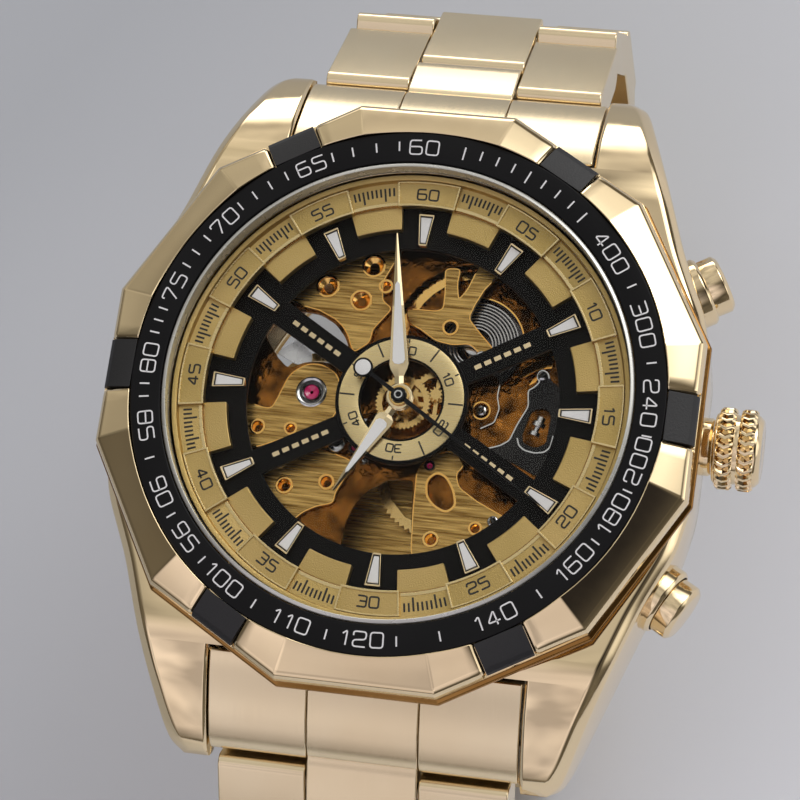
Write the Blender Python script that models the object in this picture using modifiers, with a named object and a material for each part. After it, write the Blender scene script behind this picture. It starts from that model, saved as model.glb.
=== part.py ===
"""Skeleton wristwatch with an automatic movement and a closed steel bracelet.

All numbers below are millimetres and degrees; MM turns them into metres.
+Z runs out of the dial, +X to the crown at 3 o'clock, +Y to 12 o'clock.
The origin is the centre of the case back's outer face.
"""

import math

import bpy
from mathutils import Matrix, Vector

MM = 0.001

# --- case -------------------------------------------------------------------
CASE_BORE = 16.9
LUG_GAP = 11.15            # half the 22.3 mm between the lugs
CASE_OUTLINE = (           # one quarter, from 3 o'clock to the lug's inner corner
    (21.0, 0.0), (21.0, 5.0), (20.3, 8.6), (18.3, 13.0), (16.5, 18.2),
    (14.4, 24.0), (13.9, 25.0), (13.0, 25.6), (LUG_GAP, 25.6), (LUG_GAP, 18.6),
)
CASE_PROFILE = (           # side view of one half, from the middle of the top to the lug tip
    (0.0, 8.4), (17.6, 8.4), (20.4, 7.5), (22.8, 6.0), (24.6, 4.6), (25.4, 3.6),
    (25.6, 2.6), (25.3, 1.6), (24.4, 0.9), (22.5, 0.7), (18.0, 1.2), (0.0, 1.2),
)
BEZEL_SIDES = 12
BEZEL_APOTHEM = 20.96
INSERT_IN, INSERT_OUT = 16.65, 18.8
TAB_WIDTH = 3.5
TAB_ANGLES = (0, 60, 120, 180, 240, 300)
CRYSTAL_R = 16.25
CONTROL_Z = 4.3            # height of the crown and pusher axes
PUSHER_ANGLES = {"2": 30, "4": -30}
CROWN_X = 21.75
SPRING_BAR_Y, SPRING_BAR_Z = 22.4, 3.0

# --- dial -------------------------------------------------------------------
DIAL_LOW, DIAL_HIGH = 8.55, 8.95
DIAL_WINDOW = 11.1
INDEX_TOP = 9.6
HUB_RING_IN, HUB_RING_OUT = 3.03, 4.47
DIAL_ARMS = (30, 150, -30, -150)

# --- movement ---------------------------------------------------------------
PLATE_R = 13.5
PLATE_LOW, PLATE_HIGH = 6.75, 7.5
BRIDGE_LOW, BRIDGE_HIGH = 2.6, 3.1
BARREL_AT = (4.2, 5.2)
THIRD_AT = (2.42, -4.19)
ESCAPE_AT = (-2.39, -4.14)
PALLET_AT = (-3.98, -2.46)
BALANCE_AT = (-6.3, 0.0)
MINUTE_WHEEL_AT = (2.26, 0.82)
CROWN_WHEEL_AT = (6.28, 0.0)

# --- bracelet ---------------------------------------------------------------
PITCH = 8.8
LINK_HALF = 1.6            # half the links' thickness
LINK_WIDTH = 20.8          # over the outer pieces of the first link; each next one is 0.5 less
LINK_STEP = 0.5
CENTRE_WIDTH = 7.9
END_HINGE = (26.2, 0.9)    # Y and Z of the first hinge
HEADINGS = (-42, -70, -98, -124, -150)
END_REACH = 1.95           # how far a link reaches past its hinge
LINK_GAP = 0.15
PIN_R = 0.5
CLASP_R = 62.0             # radius of the clasp's curve
CLASP_END = 19.8           # Y of the cover's lip

STEPS = 40


def fresh_scene():
    for obj in list(bpy.data.objects):
        bpy.data.objects.remove(obj)
    for name in ("skeleton_wristwatch", "cutters"):
        collection = bpy.data.collections.new(name)
        bpy.context.scene.collection.children.link(collection)
    bpy.data.collections["cutters"].hide_render = True
    return bpy.data.collections["skeleton_wristwatch"], bpy.data.collections["cutters"]


PARTS, CUTTERS = fresh_scene()


def look(name, color, metallic, roughness, alpha=1.0):
    material = bpy.data.materials.new(name)
    material.use_nodes = True
    shader = material.node_tree.nodes["Principled BSDF"]
    shader.inputs["Base Color"].default_value = (*color, 1.0)
    shader.inputs["Metallic"].default_value = metallic
    shader.inputs["Roughness"].default_value = roughness
    shader.inputs["Alpha"].default_value = alpha
    return material


GOLD = look("gold_polished", (0.86, 0.70, 0.42), 1.0, 0.12)
SATIN = look("gold_satin", (0.84, 0.68, 0.42), 1.0, 0.32)
DIAL_GOLD = look("dial_gold", (0.62, 0.50, 0.22), 1.0, 0.45)
PLATE_GOLD = look("plate_gold", (0.78, 0.58, 0.28), 1.0, 0.3)
WHEEL_BRASS = look("wheel_brass", (0.75, 0.50, 0.22), 1.0, 0.25)
STEEL = look("steel", (0.62, 0.62, 0.64), 1.0, 0.2)
BLACK = look("black_enamel", (0.015, 0.015, 0.017), 0.0, 0.35)
GLASS = look("crystal_glass", (0.95, 0.97, 0.98), 0.0, 0.03, 0.2)
SEAL = look("seal_white", (0.8, 0.8, 0.78), 0.0, 0.5)
PLASTIC = look("holder_plastic", (0.12, 0.12, 0.12), 0.0, 0.6)


def add(name, mesh, material, at=(0, 0, 0), direction=(0, 0, 1)):
    """Links a mesh drawn in millimetres about its own origin. With no material it is a cutter."""
    mesh.transform(Matrix.Scale(MM, 4))
    obj = bpy.data.objects.new(name, mesh)
    obj.location = Vector(at) * MM
    obj.rotation_mode = "QUATERNION"
    obj.rotation_quaternion = Vector((0, 0, 1)).rotation_difference(Vector(direction))
    if material is None:
        CUTTERS.objects.link(obj)
        obj.hide_render = True
        obj.display_type = "WIRE"
    else:
        PARTS.objects.link(obj)
        mesh.materials.append(material)
    return obj


def signed_area(points):
    loop = zip(points, points[1:] + points[:1])
    return sum(a[0] * b[1] - b[0] * a[1] for a, b in loop) / 2


def prism(name, outlines, low, high, material=None, at=(0, 0, 0), direction=(0, 0, 1)):
    """Closed outlines extruded along the object's own Z."""
    points, faces = [], []
    for outline in outlines:
        if signed_area(outline) < 0:
            outline = outline[::-1]
        start, count = len(points), len(outline)
        points += [(a, b, low) for a, b in outline] + [(a, b, high) for a, b in outline]
        faces.append([start + i for i in reversed(range(count))])
        faces.append([start + count + i for i in range(count)])
        for i in range(count):
            j = (i + 1) % count
            faces.append([start + i, start + j, start + count + j, start + count + i])
    mesh = bpy.data.meshes.new(name)
    mesh.from_pydata(points, [], faces)
    return add(name, mesh, material, at, direction)


def side_prism(name, outlines, low, high, material=None, at=(0, 0, 0)):
    """Outlines of (Y, Z) points, extruded along X from low to high."""
    obj = prism(name, outlines, low, high, material)
    turn = Matrix(((0, 0, 1, 0), (1, 0, 0, 0), (0, 1, 0, 0), (0, 0, 0, 1)))
    obj.data.transform(Matrix.Translation(-Vector(at) * MM) @ turn)
    obj.location = Vector(at) * MM
    return obj


def turned(name, profile, material=None, at=(0, 0, 0), direction=(0, 0, 1), steps=STEPS, turn=0.0):
    """A profile of (radius, height) points, running down its outer side, turned about the object's Z."""
    on_axis = abs(profile[0][0]) < 1e-9
    count = len(profile)
    if signed_area(profile) > 0:
        profile = profile[::-1]
    edges = [(i, i + 1) for i in range(count - 1)]
    if not on_axis:
        edges.append((count - 1, 0))
    mesh = bpy.data.meshes.new(name)
    mesh.from_pydata([(r, 0, z) for r, z in profile], edges, [])
    mesh.transform(Matrix.Rotation(math.radians(turn), 4, "Z"))
    obj = add(name, mesh, material, at, direction)
    screw = obj.modifiers.new("turn", "SCREW")
    screw.steps = steps
    screw.render_steps = steps
    screw.use_merge_vertices = True
    screw.merge_threshold = 0.000002
    return obj


def ring(name, r_in, r_out, low, high, material=None, at=(0, 0, 0), direction=(0, 0, 1), steps=STEPS):
    profile = ((r_out, high), (r_out, low), (r_in, low), (r_in, high))
    return turned(name, profile, material, at, direction, steps)


def rod(name, radius, low, high, material=None, at=(0, 0, 0), direction=(0, 0, 1), steps=12):
    return prism(name, [circle(radius, steps)], low, high, material, at, direction)


def boolean(target, operation, *others):
    for other in others:
        modifier = target.modifiers.new(operation.lower(), "BOOLEAN")
        modifier.operation = operation
        modifier.solver = "EXACT"
        modifier.object = other
    return target


def cut(target, *cutters):
    return boolean(target, "DIFFERENCE", *cutters)


def fuse(target, *others):
    return boolean(target, "UNION", *others)


def polar(radius, angle):
    return radius * math.cos(math.radians(angle)), radius * math.sin(math.radians(angle))


def circle(radius, steps=12, at=(0, 0), turn=0.0):
    ring_points = (polar(radius, turn + 360 * i / steps) for i in range(steps))
    return [(at[0] + x, at[1] + y) for x, y in ring_points]


def sector(r_in, r_out, start, end, steps=6, at=(0, 0)):
    """A piece of a flat ring between two angles."""
    outer = [polar(r_out, start + (end - start) * i / steps) for i in range(steps + 1)]
    inner = [polar(r_in, end + (start - end) * i / steps) for i in range(steps + 1)]
    return [(at[0] + x, at[1] + y) for x, y in outer + inner]


def bar(length_from, length_to, half_from, half_to, angle, at=(0, 0)):
    """A straight bar along a direction, with its half width at each end."""
    c, s = math.cos(math.radians(angle)), math.sin(math.radians(angle))
    corners = (
        (length_from, -half_from), (length_to, -half_to), (length_to, half_to), (length_from, half_from),
    )
    return [(at[0] + a * c - b * s, at[1] + a * s + b * c) for a, b in corners]


def saw(teeth, pitch_r, module, tip_angle=0.0):
    """Pointed wheel teeth, with one tip at tip_angle."""
    points = []
    for i in range(teeth):
        points.append(polar(pitch_r + 0.8 * module, tip_angle + 360 * i / teeth))
        points.append(polar(pitch_r - 1.0 * module, tip_angle + 360 * (i + 0.5) / teeth))
    return points


def leaves(teeth, pitch_r, module, tip_angle=0.0):
    """Blunt pinion leaves, with one leaf centred on tip_angle."""
    points = []
    step = 360 / teeth
    for i in range(teeth):
        middle = tip_angle + step * i
        points.append(polar(pitch_r - 1.1 * module, middle - 0.24 * step))
        points.append(polar(pitch_r + 0.7 * module, middle - 0.12 * step))
        points.append(polar(pitch_r + 0.7 * module, middle + 0.12 * step))
        points.append(polar(pitch_r - 1.1 * module, middle + 0.24 * step))
    return points


def mirrored_outline(quarter):
    """All four quarters of an outline that starts on +X and ends at the lug's inner corner."""
    first = list(quarter)
    second = [(-x, y) for x, y in reversed(first[1:])]
    third = [(-x, -y) for x, y in first]
    fourth = [(x, -y) for x, y in reversed(first[1:])]
    return first + second + third + fourth


def place(point, z=0.0):
    return (point[0], point[1], z)


def direction_of(angle):
    return (*polar(1.0, angle), 0.0)


# --- case, bezel and glass --------------------------------------------------
def make_case():
    control = (0, 0, CONTROL_Z)
    case = prism("mid_case", [mirrored_outline(CASE_OUTLINE)], 0.0, 9.0, GOLD)
    back_half = [(-y, z) for y, z in reversed(CASE_PROFILE)]
    profile = list(reversed(list(CASE_PROFILE)[1:-1] + back_half[:-1] + [CASE_PROFILE[0]]))
    boolean(case, "INTERSECT", side_prism("case_side_view", [profile], -30, 30))
    cut(
        case,
        rod("case_bore", CASE_BORE, 0.0, 9.0, steps=STEPS),
        rod("tube_hole", 1.24, 15, 23, None, control, (1, 0, 0)),
        rod("spring_bar_holes", 0.62, -12.6, 12.6, None, (0, SPRING_BAR_Y, SPRING_BAR_Z), (1, 0, 0)),
        rod("spring_bar_holes_6", 0.62, -12.6, 12.6, None, (0, -SPRING_BAR_Y, SPRING_BAR_Z), (1, 0, 0)),
    )
    for hour, angle in PUSHER_ANGLES.items():
        cut(
            case,
            rod(f"sleeve_seat_{hour}", 2.54, 19.6, 26, None, control, direction_of(angle), steps=20),
            rod(f"piston_hole_{hour}", 0.9, 15, 20, None, control, direction_of(angle)),
        )


def tab_outline(low_end, low_start):
    """Side view of one tab, as (radius, height), from under the ring to the bezel's edge."""
    return [
        (17.6, low_start), (19.3, low_start), (20.93, low_end), (20.93, 11.02),
        (20.5, 11.42), (19.3, 11.93), (17.6, 11.93),
    ]


def radial_prism(name, outline, half_width, angle, material=None):
    """An outline of (radius, height) points, extruded across a radial direction."""
    obj = prism(name, [outline], -half_width, half_width, material)
    stand = Matrix(((1, 0, 0, 0), (0, 0, -1, 0), (0, 1, 0, 0), (0, 0, 0, 1)))
    obj.data.transform(Matrix.Rotation(math.radians(angle), 4, "Z") @ stand)
    return obj


def make_bezel():
    corner = math.cos(math.pi / BEZEL_SIDES)
    blank = (
        (14.0, 11.95), (19.3, 11.95), (20.5, 11.45), (BEZEL_APOTHEM, 10.95), (BEZEL_APOTHEM, 9.9),
        (21.2, 9.6), (21.2, 9.1), (20.7, 8.7), (20.5, 8.45), (14.0, 8.45),
    )
    profile = [(r / corner, z) for r, z in blank]
    bezel = turned("bezel", profile, GOLD, steps=BEZEL_SIDES, turn=15)
    cut(
        bezel,
        rod("bezel_bore", 16.3, 8.0, 13.0, steps=STEPS),
        rod("crystal_seat", 16.6, 10.55, 13.0, steps=STEPS),
        rod("insert_seat", INSERT_OUT + 0.04, 11.35, 13.0, steps=STEPS),
    )
    for angle in TAB_ANGLES:
        outline = [(17.6, 11.2), (19.2, 11.2), (21.8, 10.2), (21.8, 12.5), (17.6, 12.5)]
        cut(bezel, radial_prism(f"tab_slot_{angle}", outline, TAB_WIDTH / 2 + 0.04, angle))
    insert = ring("bezel_insert", INSERT_IN, INSERT_OUT, 11.39, 11.93, BLACK)
    for angle in TAB_ANGLES:
        outline = tab_outline(10.66, 11.39)
        fuse(insert, radial_prism(f"tab_{angle}", outline, TAB_WIDTH / 2, angle))


def make_glass():
    turned(
        "crystal",
        ((0, 12.75), (15.6, 12.6), (CRYSTAL_R, 12.05), (CRYSTAL_R, 10.68), (15.4, 10.68), (0, 10.68)),
        GLASS,
    )
    ring("crystal_gasket", CRYSTAL_R + 0.04, 16.56, 10.6, 11.8, SEAL)


def make_back():
    back = turned(
        "case_back",
        ((18.2, 1.0), (17.8, 0.0), (12.4, 0.0), (12.4, 0.9), (12.0, 0.9), (12.0, 1.15), (16.1, 1.15),
         (16.1, 2.4), (16.8, 2.4), (16.8, 1.15), (18.2, 1.15)),
        GOLD,
    )
    notches = [circle(0.9, 8, polar(18.2, 30 + 60 * i)) for i in range(6)]
    cut(back, prism("back_notches", notches, -1.0, 0.6))
    turned(
        "case_back_window",
        ((0, 0.86), (12.35, 0.86), (12.35, 0.0), (0, 0.0)),
        GLASS,
    )


# --- crown and pushers ------------------------------------------------------
def make_crown():
    along = (1, 0, 0)
    at = (0, 0, CONTROL_Z)
    ring("crown_tube", 0.7, 1.2, 17.2, 22.6, STEEL, at, along, steps=16)
    crown = turned(
        "crown",
        ((0, 25.15), (2.1, 25.15), (2.4, 24.85), (2.4, CROWN_X), (0, CROWN_X)),
        GOLD, at, along, steps=20,
    )
    fuse(
        crown,
        prism("knurl_inner", [saw(24, 2.74, 0.2)], 22.05, 23.15, at=at, direction=along),
        prism("knurl_outer", [saw(24, 2.74, 0.2, 7.5)], 23.6, 24.6, at=at, direction=along),
    )
    cut(crown, rod("crown_recess", 1.35, 21, 23.1, at=at, direction=along, steps=20))
    rod("winding_stem", 0.42, 7.7, 23.06, STEEL, at, along)
    pinion = prism("winding_pinion", [leaves(12, 0.78, 0.14)], 7.9, 9.2, STEEL, at, along)
    cut(pinion, rod("pinion_bore", 0.47, 7, 12, at=at, direction=along))


def make_pushers():
    for hour, angle in PUSHER_ANGLES.items():
        along, at = direction_of(angle), (0, 0, CONTROL_Z)
        turned(
            f"pusher_sleeve_{hour}",
            (
                (2.2, 22.95), (2.4, 22.95), (2.5, 22.85), (2.5, 19.65),
                (0.85, 19.65), (0.85, 21.95), (2.2, 21.95),
            ),
            GOLD, at, along, steps=20,
        )
        turned(
            f"pusher_{hour}",
            ((0, 24.4), (1.8, 24.4), (2.12, 24.1), (2.12, 22.8), (0.78, 22.8), (0.78, 17.7), (0, 17.7)),
            GOLD, at, along, steps=20,
        )


# --- dial, chapter ring and hands ------------------------------------------
def make_dial():
    dial = ring("dial", DIAL_WINDOW, 16.2, DIAL_LOW, DIAL_HIGH, BLACK)
    arms = [bar(4.0, 11.6, 0.85, 0.95, angle) for angle in DIAL_ARMS]
    hub = ring("dial_hub", 2.9, 4.72, DIAL_LOW, DIAL_HIGH)
    cutouts = prism("dial_arms", arms, DIAL_LOW, DIAL_HIGH)
    indices = [bar(11.15, 13.55, 0.28, 0.55, 90 - 30 * hour) for hour in range(12)]
    fuse(dial, hub, cutouts, prism("dial_indices", indices, DIAL_LOW + 0.1, INDEX_TOP))
    ring("centre_ring", HUB_RING_IN, HUB_RING_OUT, 8.98, 9.12, DIAL_GOLD)

    chapter = ring("chapter_ring", 14.05, 16.1, 9.0, 10.1, DIAL_GOLD, steps=36)
    plates = [sector(13.9, 15.9, 81.6 + 30 * i, 98.4 + 30 * i, 2) for i in range(12)]
    blocks = [sector(12.32, 14.4, 67.5 + 30 * i, 82.5 + 30 * i, 2) for i in range(12)]
    fuse(
        chapter,
        prism("hour_plates", plates, 9.6, 10.34),
        prism("half_hour_blocks", blocks, 9.02, 9.72),
        ring("outer_rail", 15.75, 16.2, 9.6, 10.5, steps=36),
    )


def hand(name, tip, half, tail, low, high, bore, material, angle):
    """A tapering hand that points at angle, with a round hub."""
    c, s = math.cos(math.radians(angle)), math.sin(math.radians(angle))
    shape = (
        (-tail, -0.25), (0, -0.3), (0.3 * tip, -half), (tip, -0.02),
        (tip, 0.02), (0.3 * tip, half), (0, 0.3), (-tail, 0.25),
    )
    outline = [(a * c - b * s, a * s + b * c) for a, b in shape]
    obj = prism(name, [outline], low, high, material)
    fuse(obj, rod(f"{name}_hub", bore + 0.3, low - 0.01, high + 0.01, steps=10))
    if bore > 0:
        cut(obj, rod(f"{name}_bore", bore, low - 1, high + 1, steps=10))
    return obj


def make_hands():
    hand("hour_hand", 8.1, 0.75, 0.0, 9.38, 9.55, 0.73, GOLD, 90 - 208)
    hand("minute_hand", 12.1, 0.62, 0.0, 9.78, 9.95, 0.45, GOLD, 90 + 9)
    seconds = hand("seconds_hand", 12.9, 0.14, 2.95, 10.12, 10.26, 0.0, BLACK, 90 - 122)
    fuse(
        seconds,
        rod("seconds_hub", 0.6, 10.1, 10.4, steps=16),
        prism("seconds_weight", [circle(0.62, 20, polar(3.3, 90 + 58))], 10.1, 10.28),
    )


# --- movement ---------------------------------------------------------------
def wheel(name, outline, low, high, material, at, spokes=0, rim=0.0, hub=0.0, arm=0.5):
    """A toothed wheel about its own axis, with sector openings between its spokes."""
    obj = prism(name, [outline], low, high, material, at)
    if spokes:
        step = 360 / spokes
        gap = math.degrees(arm / hub) / 2
        edge = math.degrees(arm / rim) / 2
        openings = []
        for i in range(spokes):
            start, end = step * i, step * (i + 1)
            outer = [polar(rim, start + edge + (step - 2 * edge) * k / 3) for k in range(4)]
            inner = [polar(hub, end - gap - (step - 2 * gap) * k / 2) for k in range(3)]
            openings.append(outer + inner)
        cut(obj, prism(f"{name}_openings", openings, low - 1, high + 1, at=at))
    return obj


def make_train():
    fourth = wheel("fourth_wheel", saw(60, 4.35, 0.145, 240), 3.5, 3.65, WHEEL_BRASS, (0, 0, 0), 4, 3.7, 1.0)
    fuse(
        fourth,
        prism("fourth_pinion", [leaves(8, 0.569, 0.1423, 300 + 22.5)], 3.6, 4.15),
        rod("fourth_arbor", 0.15, 2.85, 10.08, steps=12),
    )
    centre = wheel("centre_wheel", saw(64, 4.3, 0.1344, 300), 4.45, 4.6, WHEEL_BRASS, (0, 0, 0), 4, 3.65, 1.1)
    fuse(
        centre,
        prism("centre_pinion", [leaves(10, 0.954, 0.1908, 51.07)], 5.72, 6.35),
        rod("centre_pipe", 0.42, 4.3, 7.58),
    )
    cut(centre, rod("centre_bore", 0.22, 4.0, 8.0, steps=10))
    third_teeth = saw(60, 4.268, 0.1423, 120)
    third = wheel("third_wheel", third_teeth, 3.85, 4.0, WHEEL_BRASS, place(THIRD_AT), 4, 3.6, 1.0)
    fuse(
        third,
        prism("third_pinion", [leaves(8, 0.5375, 0.1344, 120 + 22.5)], 3.95, 4.75, at=place(THIRD_AT)),
        rod("third_arbor", 0.2, 2.85, 7.0, at=place(THIRD_AT), steps=12),
    )
    teeth = []
    for i in range(15):
        base = 24 * i
        teeth += [polar(1.45, base), polar(1.95, base + 9), polar(2.0, base + 12), polar(1.45, base + 8)]
    escape = wheel("escape_wheel", teeth, 6.15, 6.3, STEEL, place(ESCAPE_AT), 4, 1.15, 0.45, 0.25)
    fuse(
        escape,
        prism("escape_pinion", [leaves(6, 0.435, 0.145, 60 + 30)], 3.45, 3.8, at=place(ESCAPE_AT)),
        rod("escape_arbor", 0.15, 2.85, 7.0, at=place(ESCAPE_AT), steps=12),
    )
    cannon = prism("cannon_pinion", [leaves(12, 0.6, 0.1, 20)], 7.62, 8.0, WHEEL_BRASS)
    fuse(cannon, rod("cannon_pipe", 0.4, 7.62, 9.99))
    cut(cannon, rod("cannon_bore", 0.2, 7.0, 11.0, steps=10))
    minute = wheel(
        "minute_wheel", saw(36, 1.8, 0.1, 200 + 5), 7.65, 7.8, WHEEL_BRASS, place(MINUTE_WHEEL_AT), 4, 1.4, 0.55, 0.3
    )
    fuse(
        minute,
        prism("minute_pinion", [leaves(10, 0.48, 0.096, 200 + 18)], 7.75, 8.3, at=place(MINUTE_WHEEL_AT)),
    )
    hour = wheel("hour_wheel", saw(40, 1.92, 0.096, 20), 8.1, 8.25, WHEEL_BRASS, (0, 0, 0), 5, 1.5, 0.95, 0.3)
    fuse(hour, rod("hour_pipe", 0.7, 8.1, 9.56, steps=10))
    cut(hour, rod("hour_bore", 0.45, 8.0, 10.0, steps=20))


def make_barrel():
    at = place(BARREL_AT)
    barrel = wheel("mainspring_barrel", saw(60, 5.724, 0.1908, 231.07 + 3), 5.8, 6.2, WHEEL_BRASS, at)
    fuse(barrel, rod("barrel_drum", 5.3, 4.85, 6.35, at=at, steps=32))
    cut(
        barrel,
        rod("barrel_inside", 4.95, 5.05, 7.0, at=at, steps=32),
        rod("barrel_arbor_hole", 0.85, 4.0, 6.0, at=at, steps=20),
    )
    turns, samples = 7, 10
    inner, outer = [], []
    for i in range(turns * samples + 1):
        radius = 1.25 + (4.75 - 1.25) * i / (turns * samples)
        inner.append(polar(radius - 0.06, 360 * i / samples))
        outer.append(polar(radius + 0.06, 360 * i / samples))
    prism("mainspring", [inner[::-1] + outer], 5.2, 6.2, STEEL, at)
    ratchet = wheel("ratchet_wheel", saw(42, 3.36, 0.16, -68.2), 3.15, 3.35, STEEL, at)
    fuse(ratchet, rod("barrel_arbor", 0.8, 2.75, 6.6, at=at, steps=20))
    crown_at = place(CROWN_WHEEL_AT)
    crown_wheel = wheel("crown_wheel", saw(28, 2.24, 0.16, 111.8 + 6.43), 3.15, 3.35, STEEL, crown_at)
    fuse(crown_wheel, rod("crown_wheel_boss", 0.5, 2.75, 3.3, at=crown_at, steps=10))


def make_escapement():
    to_escape = math.degrees(math.atan2(ESCAPE_AT[1] - PALLET_AT[1], ESCAPE_AT[0] - PALLET_AT[0]))
    at = place(PALLET_AT)
    lever = [
        bar(0.0, 2.75, 0.3, 0.12, to_escape + 180), bar(-0.2, 1.15, 0.22, 0.22, to_escape + 90),
        bar(-0.2, 1.15, 0.22, 0.22, to_escape - 90),
    ]
    fork = prism("pallet_fork", [lever[0]], 6.15, 6.3, STEEL, at)
    fuse(
        fork,
        prism("pallet_arm_a", [lever[1]], 6.14, 6.31, at=at),
        prism("pallet_arm_b", [lever[2]], 6.13, 6.32, at=at),
        rod("pallet_arbor", 0.14, 6.0, 6.98, at=at, steps=12),
        prism("fork_horns", [bar(2.6, 3.05, 0.3, 0.34, to_escape + 180)], 6.12, 6.33, at=at),
    )
    cut(fork, prism("fork_slot", [bar(2.72, 3.3, 0.11, 0.14, to_escape + 180)], 6.0, 6.5, at=at))
    balance_at = place(BALANCE_AT)
    balance = wheel("balance_wheel", circle(4.0, 32), 4.9, 5.2, WHEEL_BRASS, balance_at, 3, 3.5, 0.7, 0.6)
    fuse(
        balance,
        rod("balance_staff", 0.2, 3.0, 7.0, at=balance_at, steps=12),
        rod("balance_roller", 0.4, 5.1, 5.9, at=balance_at, steps=20),
    )
    turns, samples = 6, 10
    inner, outer = [], []
    for i in range(turns * samples + 1):
        radius = 0.5 + (2.3 - 0.5) * i / (turns * samples)
        inner.append(polar(radius - 0.02, 360 * i / samples))
        outer.append(polar(radius + 0.02, 360 * i / samples))
    prism("hairspring", [inner[::-1] + outer], 4.0, 4.2, STEEL, balance_at)


def make_plates():
    holder = ring("movement_holder", 13.6, 16.7, 2.6, 8.4, PLASTIC)
    cut(holder, rod("holder_stem_hole", 1.4, 12, 18, at=(0, 0, CONTROL_Z), direction=(1, 0, 0)))
    for hour, angle in PUSHER_ANGLES.items():
        towards = direction_of(angle)
        cut(holder, rod(f"holder_hole_{hour}", 1.0, 16.0, 18, at=(0, 0, CONTROL_Z), direction=towards))

    plate = rod("main_plate", PLATE_R, PLATE_LOW, PLATE_HIGH, PLATE_GOLD, steps=STEPS)
    windows = [
        sector(1.4, 3.9, 100, 440, 16, BARREL_AT),
        sector(6.8, 10.6, 118, 150, 6),
        sector(5.0, 10.9, 256, 292, 6),
        sector(6.0, 10.9, -38, 12, 8),
        sector(3.6, 5.6, 140, 162, 4),
        sector(3.8, 5.4, 195, 226, 4),
    ]
    cut(plate, prism("plate_windows", windows, PLATE_LOW - 1, PLATE_HIGH + 1))
    holes = [
        circle(0.55, 16), circle(0.3, 12, THIRD_AT), circle(0.25, 12, ESCAPE_AT), circle(0.3, 12, BALANCE_AT),
        circle(0.24, 12, PALLET_AT),
        circle(0.78, 16, (-6.8, 8.23)), circle(0.78, 16, (-3.69, 10.04)), circle(0.76, 16, (-4.1, 7.5)),
        circle(0.5, 12, (-10.0, -2.85)), circle(0.5, 12, (-7.82, -2.99)), circle(0.55, 12, (-7.72, -6.65)),
        circle(0.6, 12, (-4.63, -7.0)), circle(0.55, 12, (-3.49, -9.75)),
    ]
    cut(plate, prism("plate_holes", holes, PLATE_LOW - 1, PLATE_HIGH + 1))

    barrel_bridge = prism(
        "barrel_bridge", [sector(1.2, 13.3, -14, 128, 14)], BRIDGE_LOW, BRIDGE_HIGH, PLATE_GOLD
    )
    fuse(barrel_bridge, prism(
        "barrel_bridge_feet", [circle(0.85, 16, polar(12.3, a)) for a in (-8, 104)], BRIDGE_HIGH - 0.1, 6.7
    ))
    cut(barrel_bridge, prism(
        "barrel_bridge_holes", [circle(0.88, 20, BARREL_AT), circle(0.56, 16, CROWN_WHEEL_AT)], 2, 4
    ))
    train_bridge = prism(
        "train_bridge", [sector(0.9, 13.3, -133, -16, 12)], BRIDGE_LOW, BRIDGE_HIGH, PLATE_GOLD
    )
    feet = [circle(0.85, 16, polar(12.3, a)) for a in (-24, -125)]
    fuse(
        train_bridge,
        prism("train_bridge_hub", [circle(1.15, 24)], BRIDGE_LOW - 0.01, BRIDGE_HIGH + 0.01),
        prism("train_bridge_feet", feet, BRIDGE_HIGH - 0.1, 6.7),
    )
    bearings = [circle(0.22, 12), circle(0.26, 12, THIRD_AT), circle(0.2, 12, ESCAPE_AT)]
    cut(train_bridge, prism("train_bridge_holes", bearings, 2, 4))
    cock_outline = bar(-1.3, 7.0, 1.5, 2.6, 180, BALANCE_AT)
    cock = prism("balance_cock", [cock_outline], BRIDGE_LOW, BRIDGE_HIGH, PLATE_GOLD)
    fuse(cock, prism("balance_cock_foot", [circle(0.85, 16, (-12.3, 1.4))], BRIDGE_HIGH - 0.1, 6.7))
    cut(cock, rod("balance_cock_hole", 0.25, 2.8, 4, at=place(BALANCE_AT), steps=12))
    prism("pallet_bridge", [bar(-0.7, 0.7, 0.45, 0.45, 45, PALLET_AT)], 5.55, 5.9, PLATE_GOLD)
    rotor = prism("rotor", [sector(0.9, 12.3, -178, -2, 16)], 1.95, 2.3, STEEL)
    fuse(
        rotor,
        prism("rotor_rim", [sector(10.6, 12.5, -176, -4, 16)], 1.5, 2.2),
        rod("rotor_hub", 1.6, 1.9, 2.35, steps=20),
    )
    cut(rotor, rod("rotor_bore", 0.65, 1, 3, steps=10))
    turned(
        "rotor_bearing",
        ((0, 2.56), (0.6, 2.56), (0.6, 1.85), (1.0, 1.85), (1.0, 1.6), (0, 1.6)),
        STEEL, steps=16,
    )


# --- bracelet ---------------------------------------------------------------
def hinge_points():
    points = [END_HINGE]
    for heading in HEADINGS:
        y, z = points[-1]
        dy, dz = polar(PITCH, heading)
        points.append((y + dy, z + dz))
    return points


def along_link(points, start, heading, side):
    """(distance, height) points of a link laid on its heading, on the 12 or the 6 o'clock side."""
    c, s = math.cos(math.radians(heading)), math.sin(math.radians(heading))
    placed = [(start[0] + a * c - b * s, start[1] + a * s + b * c) for a, b in points]
    if side > 0:
        return placed
    return [(-y, z) for y, z in reversed(placed)]


def end_curve(reach, half, at=0.0, forward=True):
    """A link's rounded end: square above, for a closed look, and curved below, to swing inwards."""
    low = [polar(reach, -10), polar(reach, -36), (reach * 0.52, -half)]
    points = low[::-1] + [(reach, half - 0.25), (reach - 0.2, half)]
    if forward:
        return [(at + a, b) for a, b in points]
    return [(at - a, b) for a, b in reversed(points)]


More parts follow.
